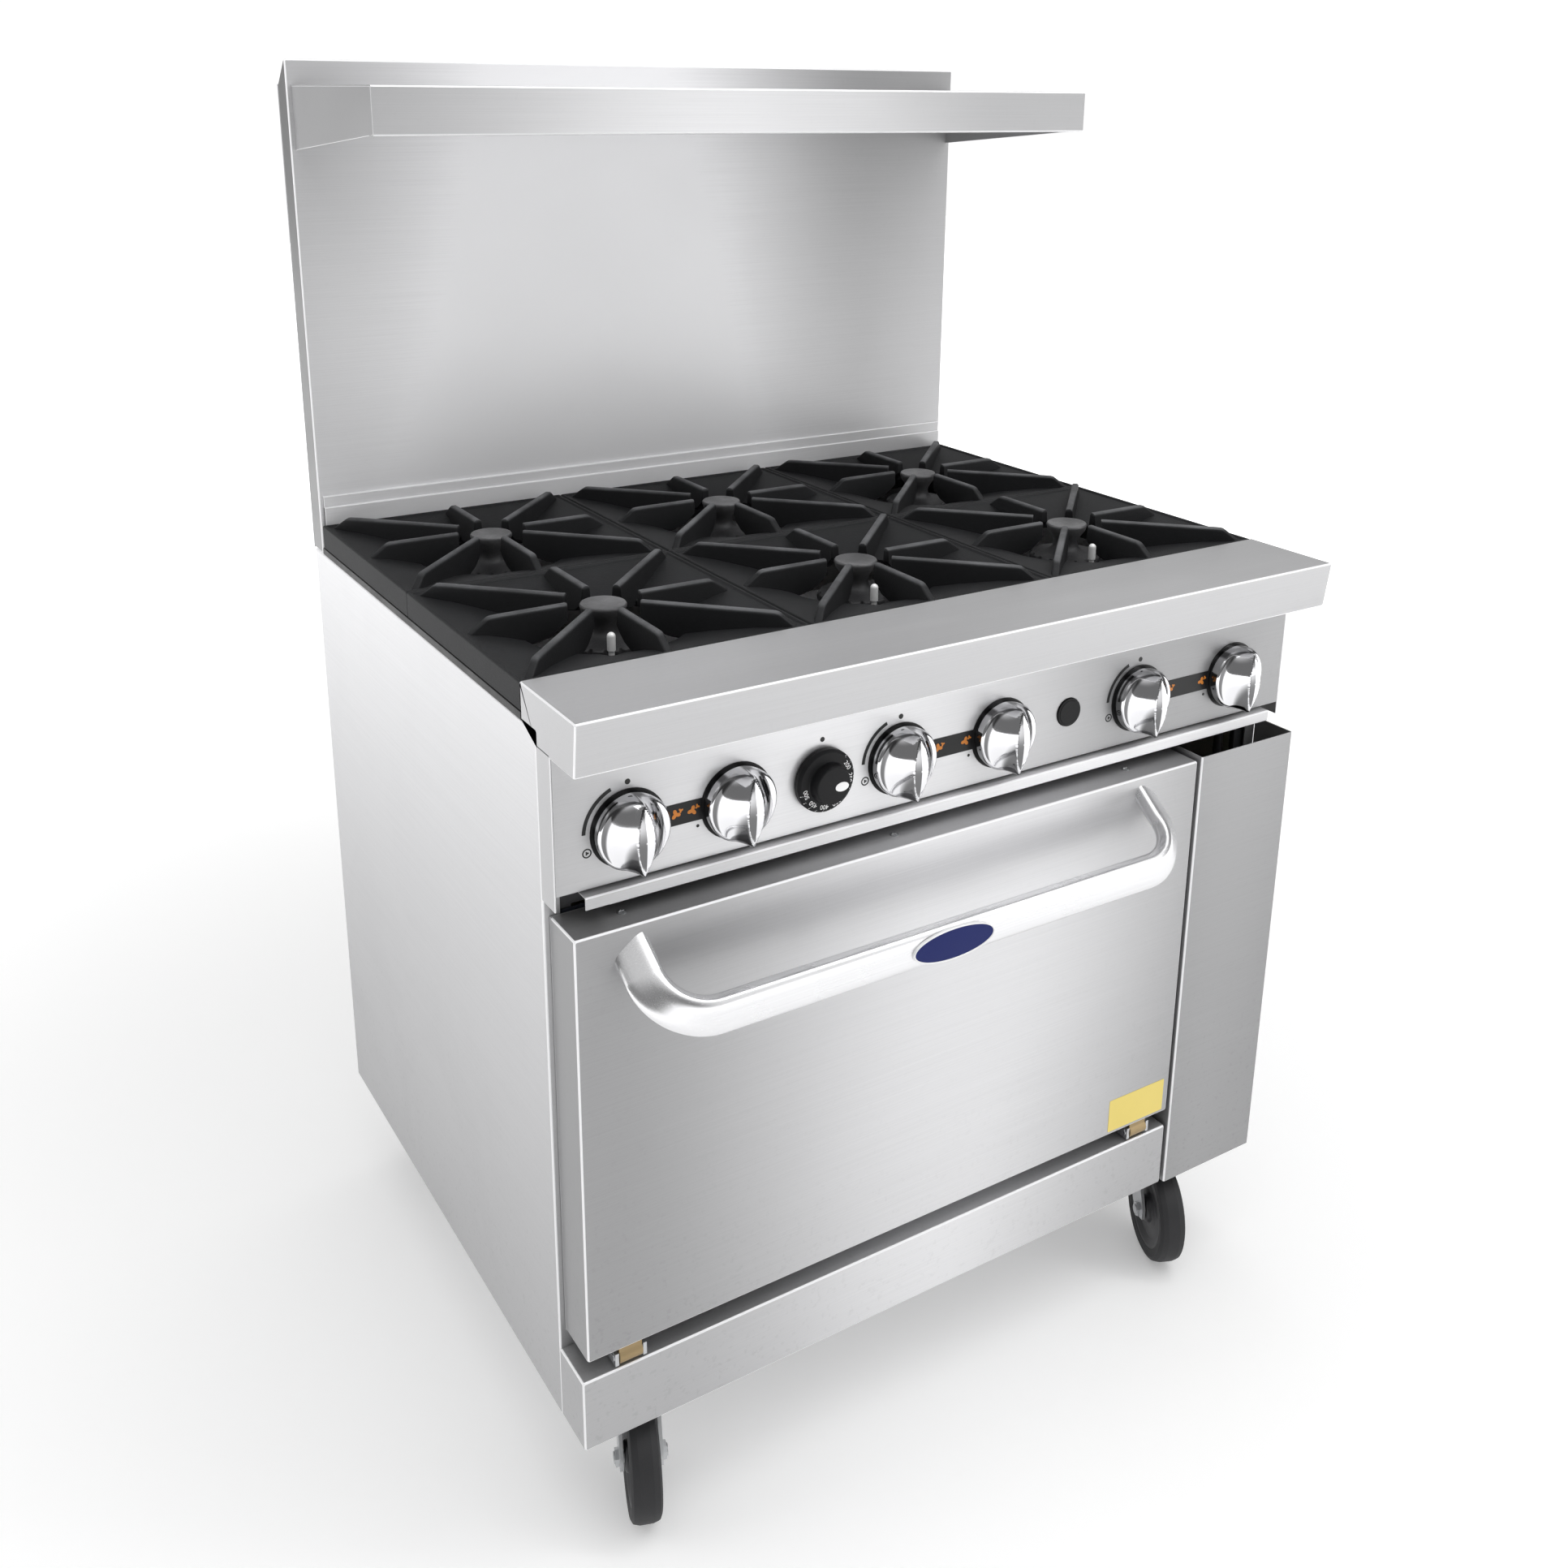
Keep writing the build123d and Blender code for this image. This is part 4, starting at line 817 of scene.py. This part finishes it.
print("handle sections:", len(route))

# %% [markdown]
# ## The oval badge
#
# A small domed plate of enamel in a thin bright rim sits on the bar. It stays blank here. Both are grids
# in polar form: the dome is a low cap over an ellipse, and the rim a small half-round carried round it.


# %% Badge
def oval_dome(centre, half_x, half_z, front, back, bulge, rings=10, segments=72):
    """Ellipse of half_x by half_z at depth back, domed forwards: depth = front + bulge * r * r."""
    r = np.append(np.linspace(0.0, 1.0, rings), 1.0)
    angle = np.arange(segments) * 2 * math.pi / segments
    depth = np.append(front + bulge * r[:-1] ** 2, back)
    x = centre[0] + half_x * r[:, None] * np.cos(angle)
    z = centre[1] + half_z * r[:, None] * np.sin(angle)
    return woven(placed(x, z, depth[:, None], "acb"), caps=(-1,))


def half_round_ring(centre, half_x, half_z, width, depth_front, depth_back, segments=72):
    """Ring round an ellipse: its section is a half circle that swells towards the viewer."""
    t = np.linspace(0, math.pi, 7)
    radial = np.append(np.cos(t), [-1, 1])
    angle = np.arange(segments) * 2 * math.pi / segments
    grow = width / 2 * radial[:, None]
    x = centre[0] + (half_x + grow) * np.cos(angle)
    z = centre[1] + (half_z + grow) * np.sin(angle)
    arc = depth_front + (depth_back - depth_front) * 0.6 * (1 - np.sin(t))
    rim = np.append(arc, [depth_back, depth_back])
    return woven(placed(x, z, rim[:, None], "acb"), wrap_rows=True)


badge = faces_of("handle_badge")
centre = ((badge[0] + badge[1]) / 2, (badge[4] + badge[5]) / 2)
half_x, half_z = (badge[1] - badge[0]) / 2, (badge[5] - badge[4]) / 2
finished("badge_enamel", [oval_dome(centre, half_x - 1.6 * MM, half_z - 1.6 * MM,
         badge[2] + 0.1 * MM, badge[3], 0.7 * MM)], "oven_door", NAVY, ["handle_badge"])
finished("badge_rim", [half_round_ring(centre, half_x - 1.1 * MM, half_z - 1.1 * MM, 2.2 * MM,
         badge[2], badge[3])], "oven_door", BRIGHT)
print("badge", round(2 * half_x, 4), "by", round(2 * half_z, 4))

# %% [markdown]
# ## Knobs
#
# A range knob of this kind is a zinc casting with a bright plate: a round skirt, a tall blade to grip,
# and two hollow flanks that scoop down from the blade to the skirt. Carving it from solids would take
# many cuts. Here it is a height field on a disc: at each point the distance from the blade decides how
# far the flank has fallen.


# %% Knob shape
def knob_grid(x, z, back, radius=36.0 * MM, height=36.0 * MM, rings=44, segments=144):
    """Front of the knob: height h over each point (a across, b up). The blade's half width is
    w = 8.0 mm * (1 - (b / R) ** 2) + 0.3 mm, and the flank falls as (1 - t) ** 2.1 with t from the blade
    to the rim."""
    r = np.linspace(0, 1, rings)[:, None] ** 0.85 * radius
    angle = np.arange(segments)[None] * 2 * math.pi / segments
    a, b = r * np.cos(angle), r * np.sin(angle)
    blade = 8.0 * MM * (1 - (b / radius) ** 2) + 0.3 * MM
    chord = np.sqrt(np.maximum(radius ** 2 - b ** 2, (0.6 * MM) ** 2))
    t = np.clip((np.abs(a) - blade) / np.maximum(chord - blade, 0.6 * MM), 0, 1)
    crest = height - 5.5 * MM * (b / radius) ** 2 - 0.9 * MM * np.clip(np.abs(a) / blade, 0, 1)
    rim = 13.5 * MM
    h = rim + (crest - rim) * (1 - t) ** 2.1
    pointed = np.clip((np.hypot(a, b) / radius - 0.93) / 0.07, 0, 1)
    h = h - 2.2 * MM * pointed ** 2
    front = placed(x + a, z + b, back - h, "acb")
    wall = np.stack([placed(x + s * radius * np.cos(angle[0]), z + s * radius * np.sin(angle[0]),
                            np.full(segments, back - d), "acb")
                     for s, d in ((1.0, 9.0 * MM), (0.995, 4.2 * MM), (0.97, 3.6 * MM), (0.97, 0.0))])
    return woven(np.concatenate([front, wall]), caps=(-1,))


def stem_grid(x, z, front, back):
    """Round stem of 4 mm radius that runs back from the control into the panel."""
    profile = [(0, 0), (4 * MM, 0), (4 * MM, back - front), (0, back - front)]
    return turned(profile, 24, (x, front, z), (1, 0, 0), (0, 0, 1), (0, 1, 0))


knob_number = 1
while f"burner_knob_{knob_number}" in frame["nodes"]:
    node = f"burner_knob_{knob_number}"
    k = faces_of(node)
    middle_x, middle_z, back = (k[0] + k[1]) / 2, (k[4] + k[5]) / 2, PANEL[2] - 1.3 * MM
    stem = stem_grid(middle_x, middle_z, back, k[3])
    finished(f"knob_{knob_number}_casting", [knob_grid(middle_x, middle_z, back), stem],
             f"knob_{knob_number}", CHROME, [node], crease=28)
    knob_number += 1
print("knobs:", knob_number - 1)

# %% [markdown]
# ## Thermostat dial and push button
#
# The dial is black plastic: a flat face with a sloped edge that carries the numbers, and a round grip.
# The numbers are plain degrees, set round the slope as small raised print. The button is a low disc.


# %% Dial
dial = faces_of("thermostat_dial")
dial_x, dial_z, dial_back = (dial[0] + dial[1]) / 2, (dial[4] + dial[5]) / 2, PANEL[2] - 1.3 * MM
profile = rounded([(0, 0), (32, 0), (32, 6), (29.5, 8.6), (20.5, 9.6), (19, 20.5), (0, 21.2)],
                  [0, 0.6, 1.4, 1.2, 1.6, 1.8, 0], closed=False) * MM
body = turned(profile, 96, (dial_x, dial_back, dial_z), (1, 0, 0), (0, 0, 1), (0, -1, 0))
stem = stem_grid(dial_x, dial_z, dial_back, dial[3])
finished("dial_face", [body, stem], "dial", BLACK_PLASTIC, ["thermostat_dial"])


# %% Print: numbers and ticks
def number_mesh(text, size, place, turn, depth):
    """Outline of a number as (points, faces), turned about its own middle and set upright in x and z."""
    curve = bpy.data.curves.new("number", "FONT")
    curve.body, curve.size, curve.extrude = text, size, 0.08 * MM
    curve.align_x, curve.align_y = "CENTER", "CENTER"
    holder = bpy.data.objects.new("number", curve)
    scene.collection.objects.link(holder)
    flat_mesh = bpy.data.meshes.new_from_object(holder.evaluated_get(bpy.context.evaluated_depsgraph_get()))
    co = np.empty(len(flat_mesh.vertices) * 3)
    flat_mesh.vertices.foreach_get("co", co)
    faces = [list(p.vertices) for p in flat_mesh.polygons]
    bpy.data.objects.remove(holder)
    a, b, c = co.reshape(-1, 3).T
    x = a * math.cos(turn) - b * math.sin(turn)
    z = a * math.sin(turn) + b * math.cos(turn)
    return placed(place[0] + x, place[1] + z, depth - c, "acb"), faces


grids = []
face_y = dial_back - 9.25 * MM
for step, text in enumerate(("200", "250", "300", "350", "400", "450", "500")):
    angle = math.radians(30 - 32 * step)
    at = (dial_x + 25.2 * MM * math.cos(angle), dial_z + 25.2 * MM * math.sin(angle))
    grids.append(number_mesh(text, 6.6 * MM, at, angle - math.pi / 2, face_y))
for step in range(14):
    angle = math.radians(46 - 16 * step)
    t = np.linspace(angle - 0.012, angle + 0.012, 3)
    r = np.array([29.0, 31.2])[:, None] * MM
    depth = np.array([dial_back - 8.9 * MM, dial_back - 7.0 * MM])[:, None]
    tick = placed(dial_x + r * np.cos(t), dial_z + r * np.sin(t), depth, "acb")
    grids.append(woven(tick, wrap_columns=False))
finished("dial_numbers", grids, "dial", WHITE_PRINT)
grid = oval_dome((dial_x + 8.5 * MM, dial_z - 2 * MM), 7.5 * MM, 4.6 * MM, dial_back - 21.6 * MM,
                 dial_back - 20.4 * MM, 0.3 * MM)
finished("dial_spot", [grid], "dial", WHITE_PRINT)

# %% Push button
button = faces_of("pilot_button")
bx, bz, br = (button[0] + button[1]) / 2, (button[4] + button[5]) / 2, (button[1] - button[0]) / 2
deep = button[3] - button[2]
profile = rounded([(0, 0), (br - 2.5 * MM, 0), (br - 2.0 * MM, 0.5 * MM), (br, 0.8 * MM), (br, 10.5 * MM),
                   (4 * MM, 10.5 * MM), (4 * MM, deep), (0, deep)],
                  np.array([0, 0.2, 0.2, 0.4, 0.4, 0, 0.3, 0]) * MM, closed=False)
finished("button_cap", [turned(profile, 72, (bx, button[2], bz), (1, 0, 0), (0, 0, 1), (0, 1, 0))],
         "button", BLACK_PLASTIC, ["pilot_button"])
print("dial and button done")

# %% [markdown]
# ## Plates and printed marks
#
# Behind each pair of knobs lies a black plate with two small orange flames beside each knob, and round the
# first knob of a pair the panel carries an arc, a dot for off and a small ring for the low flame. Marks
# are thin raised prints, cut as grids between two radii, so no picture is needed.


# %% Marks
def print_arc(centre, r0, r1, start, end, front, back, columns=40):
    """Closed slab between two radii and two angles (degrees, from +X towards +Z)."""
    t = np.radians(np.linspace(start, end, columns))
    r = np.array([r0, r1, r1, r0])[:, None]
    d = np.array([front, front, back, back])[:, None]
    grid = placed(centre[0] + r * np.cos(t), centre[1] + r * np.sin(t), d, "acb")
    return woven(np.swapaxes(grid, 0, 1), caps=(0, -1))


def print_spot(centre, radius, front, back, lobes=0, swell=0.0, turn=0.0):
    """Round mark whose radius swells with the cosine of lobes times the angle."""
    t = np.arange(48) * 2 * math.pi / 48
    r = radius * (1 + swell * np.cos(lobes * (t - turn)))
    x, z = centre[0] + r * np.cos(t), centre[1] + r * np.sin(t)
    rows = [placed(x, z, np.full(48, d), "acb") for d in (front, back)]
    return woven(np.stack(rows), caps=(0, -1))


softened("knob_plates_sheet", "knob_plates", "range", BLACK_ENAMEL, 0.2 * MM)
plate_y, panel_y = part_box("knob_plates")[0].y, PANEL[2]
FLAME_OUT, INK = 47 * MM, 0.15 * MM
flames, marks = [], []
for k in (1, 3, 5):
    left, right = faces_of(f"burner_knob_{k}"), faces_of(f"burner_knob_{k + 1}")
    lx, rx, kz = (left[0] + left[1]) / 2, (right[0] + right[1]) / 2, (left[4] + left[5]) / 2
    for x, lean in ((lx + FLAME_OUT, 0.3), (rx - FLAME_OUT, -0.3)):
        ink_y = plate_y - 0.12 * MM
        flames.append(print_spot((x, kz + 1 * MM), 3.6 * MM, ink_y, plate_y, 3, 0.42, math.pi / 2 + lean))
        flames.append(print_spot((x + 5.2 * MM, kz + 4 * MM), 1.8 * MM, ink_y, plate_y, 3, 0.4, lean))
    low_y = panel_y - INK
    marks.append(print_arc((lx, kz), 42 * MM, 45.6 * MM, 112, 176, low_y, panel_y))
    marks.append(print_spot((lx, kz + 44.5 * MM), 2.7 * MM, low_y, panel_y))
    marks.append(print_arc((lx - 41 * MM, kz - 15 * MM), 3.3 * MM, 4.6 * MM, 0, 359, low_y, panel_y))
    marks.append(print_spot((lx - 41 * MM, kz - 15 * MM), 1.5 * MM, low_y, panel_y, 3, 0.3))
    marks.append(print_spot((rx - 41 * MM, kz - 16 * MM), 1.6 * MM, low_y, panel_y))
marks.append(print_spot((dial_x, dial_z + 40 * MM), 2.5 * MM, panel_y - INK, panel_y))
finished("flame_marks", flames, "range", ORANGE_PRINT)
finished("panel_marks", marks, "range", BLACK_PRINT)

# %% Plain yellow sticker, low on the right of the door
STICKER_X, STICKER_Z = (0.212, 0.298), (0.250, 0.292)
label = rounded([(STICKER_X[k], STICKER_Z[m]) for k, m in ((0, 0), (1, 0), (1, 1), (0, 1))], 1.5 * MM)
finished("door_sticker", [rolled(label, DOOR[2], DOOR[2] - 0.25 * MM, 0.05 * MM, "acb")],
         "oven_door", YELLOW_PRINT)
print("marks:", len(marks), "flames:", len(flames))

# %% [markdown]
# ## Cast grates
#
# Each burner has its own square grate: a shallow bowl with a round hole, an outer skirt, and eight ribs
# that climb from the rim to a level top near the flame. Cast iron has draft, so each rib is narrower at
# its top than at its foot, and nothing is sharp. The bowl is a closed ring of points whose radius at each
# angle is that of the square; each rib is a rounded section carried along a line.


# %% Grate parts
HOLE, HALF_X, HALF_Y = 85 * MM, 151.7 * MM, 148.8 * MM
PILOT, NOTCH = (-28 * MM, -76 * MM), 10 * MM


def grate_bowl():
    """Closed ring: at each angle the radius runs from the hole to the square's side, and the height from
    the hole's lip up to the rim; then down the skirt and back underneath."""
    corner = math.atan2(HALF_Y, HALF_X)
    marks = np.array([corner, math.pi - corner, math.pi + corner, 2 * math.pi - corner])
    angle = np.unique(np.round(np.concatenate([np.linspace(0, 2 * math.pi, 145)[:-1], marks]), 6))
    side_r = np.minimum(HALF_X / np.maximum(np.abs(np.cos(angle)), 1e-9),
                        HALF_Y / np.maximum(np.abs(np.sin(angle)), 1e-9))
    far, toward = math.hypot(*PILOT), math.atan2(PILOT[1], PILOT[0])
    swing = far * np.sin(angle - toward)
    inside = (np.abs(swing) < NOTCH) & (np.cos(angle - toward) > 0)
    reach = far * np.cos(angle - toward) + np.sqrt(np.maximum(NOTCH ** 2 - swing ** 2, 0))
    hole = np.where(inside, np.maximum(HOLE, reach), HOLE)
    # share of the way from hole to side, inset from the side (mm), height (mm)
    profile = np.array([(0, 0, 888.6), (0, 0, 894.4), (0.02, 0, 895.6), (0.25, 0, 901.0), (0.6, 0, 907.6),
                        (0.9, 0, 910.8), (1, 5.2, 911.3), (1, 4.4, 912.4), (1, 3.4, 913.2), (1, 1.4, 913.2),
                        (1, 0.4, 912.4), (1, 0, 911.0), (1, 0, 886.1), (1, 0.8, 885.3), (1, 5.2, 885.3),
                        (1, 6, 886.1), (1, 6, 903.5), (0.6, 0, 899.8), (0.25, 0, 893.4)])
    share, back, z = profile[:, 0, None], profile[:, 1, None] * MM, profile[:, 2, None] * MM
    radius = hole + share * (side_r - hole)
    x, y = radius * np.cos(angle), radius * np.sin(angle)
    x = np.clip(x, -HALF_X + back, HALF_X - back)
    y = np.clip(y, -HALF_Y + back, HALF_Y - back)
    return woven(placed(x, y, z, "abc"), wrap_rows=True)


def grate_rib(direction, top_end, foot_end, limit):
    """Rib: sections across the line from the tip (40 mm from the centre) to its foot, each a rounded
    trapezium between an underside and a top height. Half width 5.5 mm below, about 4 mm above."""
    stops = np.array([(40, 925, 910.5), (40.9, 925, 908), (47, 925, 902), (58, 925, 894.5), (72, 925, 890.6),
                      (85, 925, 889.4), (100, 925, 893), (top_end - 12, 925, 898),
                      (top_end - 3, 924.8, 899), (top_end, 924.2, 899.5), (top_end + 2, 923.0, 900),
                      ((top_end + foot_end) / 2, 917.2, 901), (foot_end - 2, 911.2, 903),
                      (foot_end, 908.5, 905)])
    s, top, under = stops.T * MM
    s = np.minimum(s, limit)
    slim = np.ones(len(s))
    slim[[0, -1]] = 0.72
    # across (share of half width), up (0 underside, 1 top), and a drop from the top's edge in mm
    section = np.array([(-1, 0, 0.8), (-0.8, 0, 0), (0.8, 0, 0), (1, 0, 0.8), (0.76, 1, -2.4),
                        (0.66, 1, -1.0), (0.4, 1, 0), (-0.4, 1, 0), (-0.66, 1, -1.0), (-0.76, 1, -2.4)])
    across = section[:, 0] * 5.5 * MM * slim[:, None]
    z = under[:, None] + (top - under)[:, None] * section[:, 1] + section[:, 2] * MM
    c, d = math.cos(direction), math.sin(direction)
    x = s[:, None] * c - across * d
    y = s[:, None] * d + across * c
    return woven(placed(x, y, z, "abc"), caps=(0, -1))


def grate_mesh(name, x, y):
    grids = [grate_bowl()]
    for k in range(8):
        direction = k * math.pi / 4
        if k % 2:
            grids.append(grate_rib(direction, 180, 200, 205 * MM))
        else:
            grids.append(grate_rib(direction, 122, 143, 148 * MM))
    moved = [(np.asarray(points) + (x, y, 0), faces) for points, faces in grids]
    return mesh_of(name, moved, weld=1e-5)


# %% Six grates and six burners
head_profile = np.array([(0, 871.8), (39, 871.8), (41.4, 873.4), (42, 876.5), (41, 880.4), (38, 882.4),
                         (26, 883.6), (19, 886.2), (15.2, 890), (14.2, 895), (15.2, 900), (18.4, 905.4),
                         (22, 910.4), (23.7, 915.4), (23.8, 917.4), (22.8, 918.8), (20.5, 919), (16, 918.2),
                         (0, 917.6)]) * MM


def burner_mesh_grid(x, y):
    """Turned head with sixteen ports: round the ring the radius dips by 3 mm wherever a port opens."""
    points, faces = turned(head_profile, 192, (x, y, 0), (1, 0, 0), (0, 1, 0), (0, 0, 1))
    grid = points.reshape(len(head_profile), 192, 3)
    angle = np.arange(192) * 2 * math.pi / 192
    port = np.clip(np.cos(16 * angle), 0, 1) ** 2
    ring = (np.abs(head_profile[:, 1] - 877.5 * MM) < 3.2 * MM) & (head_profile[:, 0] > 40 * MM)
    dip = 1 - 0.075 * port[None, :, None] * ring[:, None, None]
    centre = np.array([x, y, 0])
    flat = np.array([1, 1, 0])
    grid = centre * flat + (grid - centre) * flat * dip + grid * (1 - flat)
    return grid.reshape(-1, 3), faces


heads = []
for row in ("front", "rear"):
    for column in ("left", "middle", "right"):
        node = f"grate_{row}_{column}"
        g = faces_of(node)
        x, y = (g[0] + g[1]) / 2, (g[2] + g[3]) / 2
        finished(node + "_casting", grate_mesh(node, x, y), node + "_body", IRON, [node],
                 crease=38)
        heads.append(burner_mesh_grid(x, y))
finished("burner_castings", heads, "range", BURNER_IRON, ["burner_heads"], crease=40)
one = bpy.data.objects["grate_front_left_casting"].data
print("grates: 6, triangles in one:", sum(len(p.vertices) - 2 for p in one.polygons))

# %% [markdown]
# ## Casters
#
# A caster has a top plate, a fork that swivels under it, and a wheel on an axle. The wheel is turned in
# two pieces, as the real one is moulded in two materials: a rubber tyre with a rounded tread, and a hard
# core with a hub. The forks are softened copies of their CAD nodes.


# %% Wheels
def mirrored(half, radii):
    """A wheel's whole profile from one half of it: (radius, width) points in mm, then their mirror image."""
    other = [(r, -w) for r, w in reversed(half)]
    return rounded(half + other, radii + radii[::-1]) * MM


tyre_profile = mirrored([(47.5, -14.5), (57, -16), (61.6, -13.6), (63.5, -7)], [0.8, 2.0, 2.2, 3.0])
core_profile = mirrored([(6.05, -17), (13.5, -17), (15.5, -15.5), (17, -11), (24, -9.4), (38, -9.4),
                         (44.5, -13.6), (47.6, -14.2)], [0.4, 0.8, 0.8, 1.6, 3, 3, 2, 0.3])
for corner in ("front_left", "front_right", "rear_left", "rear_right"):
    body = f"wheel_{corner}"
    joint = next(j for j in frame["joints"] if j["child"] == body)
    hub, axle = np.array(joint["pos_m"], float), np.array(joint["axis"], float)
    axle /= np.linalg.norm(axle)
    level = np.cross(axle, (0, 0, 1))
    for part, profile, material in (("tyre", tyre_profile, RUBBER), ("core", core_profile, CORE)):
        closed = np.concatenate([profile, profile[:1]])
        mesh = mesh_of(f"{part}_{corner}", [turned(closed, 96, hub, level, (0, 0, 1), axle)])
        nodes = [f"caster_wheel_{corner}"] if part == "tyre" else []
        finished(f"{part}_{corner}", mesh, body, material, nodes, crease=35)
    softened(f"fork_{corner}", f"caster_fork_{corner}", f"caster_{corner}", ZINC, 0.7 * MM)
softened("caster_top_plates", "caster_plates", "range", ZINC, 0.5 * MM)
print("wheel hubs at", [round(float(v), 3) for v in hub])

# %% [markdown]
# ## Screws
#
# Three pan-head screws hold the door's liner from above, and nine hold the rear cover. Each head is a low
# dome turned about the screw's axis, with a cross cut into it as a dip in the height near two lines.


# %% Screw heads
def screw_grid(place, right, up, axis, radius=4.5 * MM, height=1.4 * MM):
    """Dome of height * (1 - 0.55 * r ** 2.6) with a cross slot 0.6 mm deep, 0.6 mm to each side of a line."""
    r = np.linspace(0, 1, 15)[:, None]
    angle = np.arange(48) * 2 * math.pi / 48
    a, b = r * np.cos(angle) * radius, r * np.sin(angle) * radius
    near = np.minimum(np.abs(a), np.abs(b))
    slot = np.clip(1 - (near / (0.6 * MM)) ** 4, 0, 1) * (r < 0.62)
    h = height * (1 - 0.55 * r ** 2.6) - 0.6 * MM * slot
    rows = [np.stack([a, b, h], -1), np.stack([a[-1:], b[-1:], np.zeros((1, 48))], -1)]
    local = np.concatenate(rows)
    turn = np.stack([right, up, axis]).astype(float)
    return woven(local @ turn + np.asarray(place, float), caps=(-1,))


SCREW_X, screw_y = (-0.392, -0.090, 0.222), DOOR[2] + 26 * MM
top_screws = [screw_grid((x, screw_y, DOOR[5]), (1, 0, 0), (0, 1, 0), (0, 0, 1)) for x in SCREW_X]
finished("door_top_screws", mesh_of("door_top_screws", top_screws, weld=1e-7), "oven_door", ZINC,
         ["door_screws"])
softened("hinge_knuckles", "door_hinges", "oven_door", BRASS, 0.8 * MM)
softened("hinge_ears", "hinge_brackets", "range", ZINC, 0.6 * MM)
softened("grate_frame", "top_frame", "range", DARK_IRON, 0.8 * MM)

# %% [markdown]
# ## The nodes that stay as they are
#
# What is flat, hidden or already round keeps its CAD mesh, and only takes a finish: the chassis, the
# oven, the gas pipes and valves, the rear sheets.

# %% Finishes for the CAD nodes
KEPT = {
    "back_panel": STEEL["inner"], "bottom_panel": STEEL["inner"], "backguard_rear": STEEL["inner"],
    "chassis_frame": FRAME_STEEL, "oven_liner": OVEN_ENAMEL, "oven_front_frame": OVEN_ENAMEL,
    "oven_floor_plate": OVEN_ENAMEL, "oven_insulation": WOOL, "door_insulation": WOOL, "door_gasket": BRAID,
    "rack_guides": ZINC, "oven_rack": ZINC, "oven_burner": FRAME_STEEL, "gas_manifold": FRAME_STEEL,
    "gas_valves": BRASS, "burner_venturis": DARK_IRON, "burner_pilots": BRIGHT, "body_fasteners": ZINC,
    "door_liner": STEEL["inner"],
}
SPARE = {"stainless": STEEL["inner"], "zinc": ZINC, "cast_iron": IRON, "knob_chrome": CHROME}
slots = {part["node"]: part["material_slot"] for part in frame["record"]["subparts"]}
for name, node in frame["nodes"].items():
    node.data.materials.clear()
    node.data.materials.append(KEPT.get(name) or SPARE.get(slots.get(name), BLACK_PLASTIC))
shown = sum(len(o.data.polygons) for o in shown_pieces() if o.type == "MESH")
print("kept nodes:", len(KEPT), "faces shown:", shown)

# %% [markdown]
# ## Close the scene
#
# The last step measures the whole piece against the CAD box and prints the largest change in size.

# %% Sizes
now_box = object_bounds()
sizes = {"cad": [list(map(float, corner)) for corner in cad_box],
         "visual": [list(map(float, corner)) for corner in now_box]}
change = max(abs(a - b) for c, d in zip(*sizes.values()) for a, b in zip(c, d))
print("largest change in size (mm):", round(1000 * change, 3))
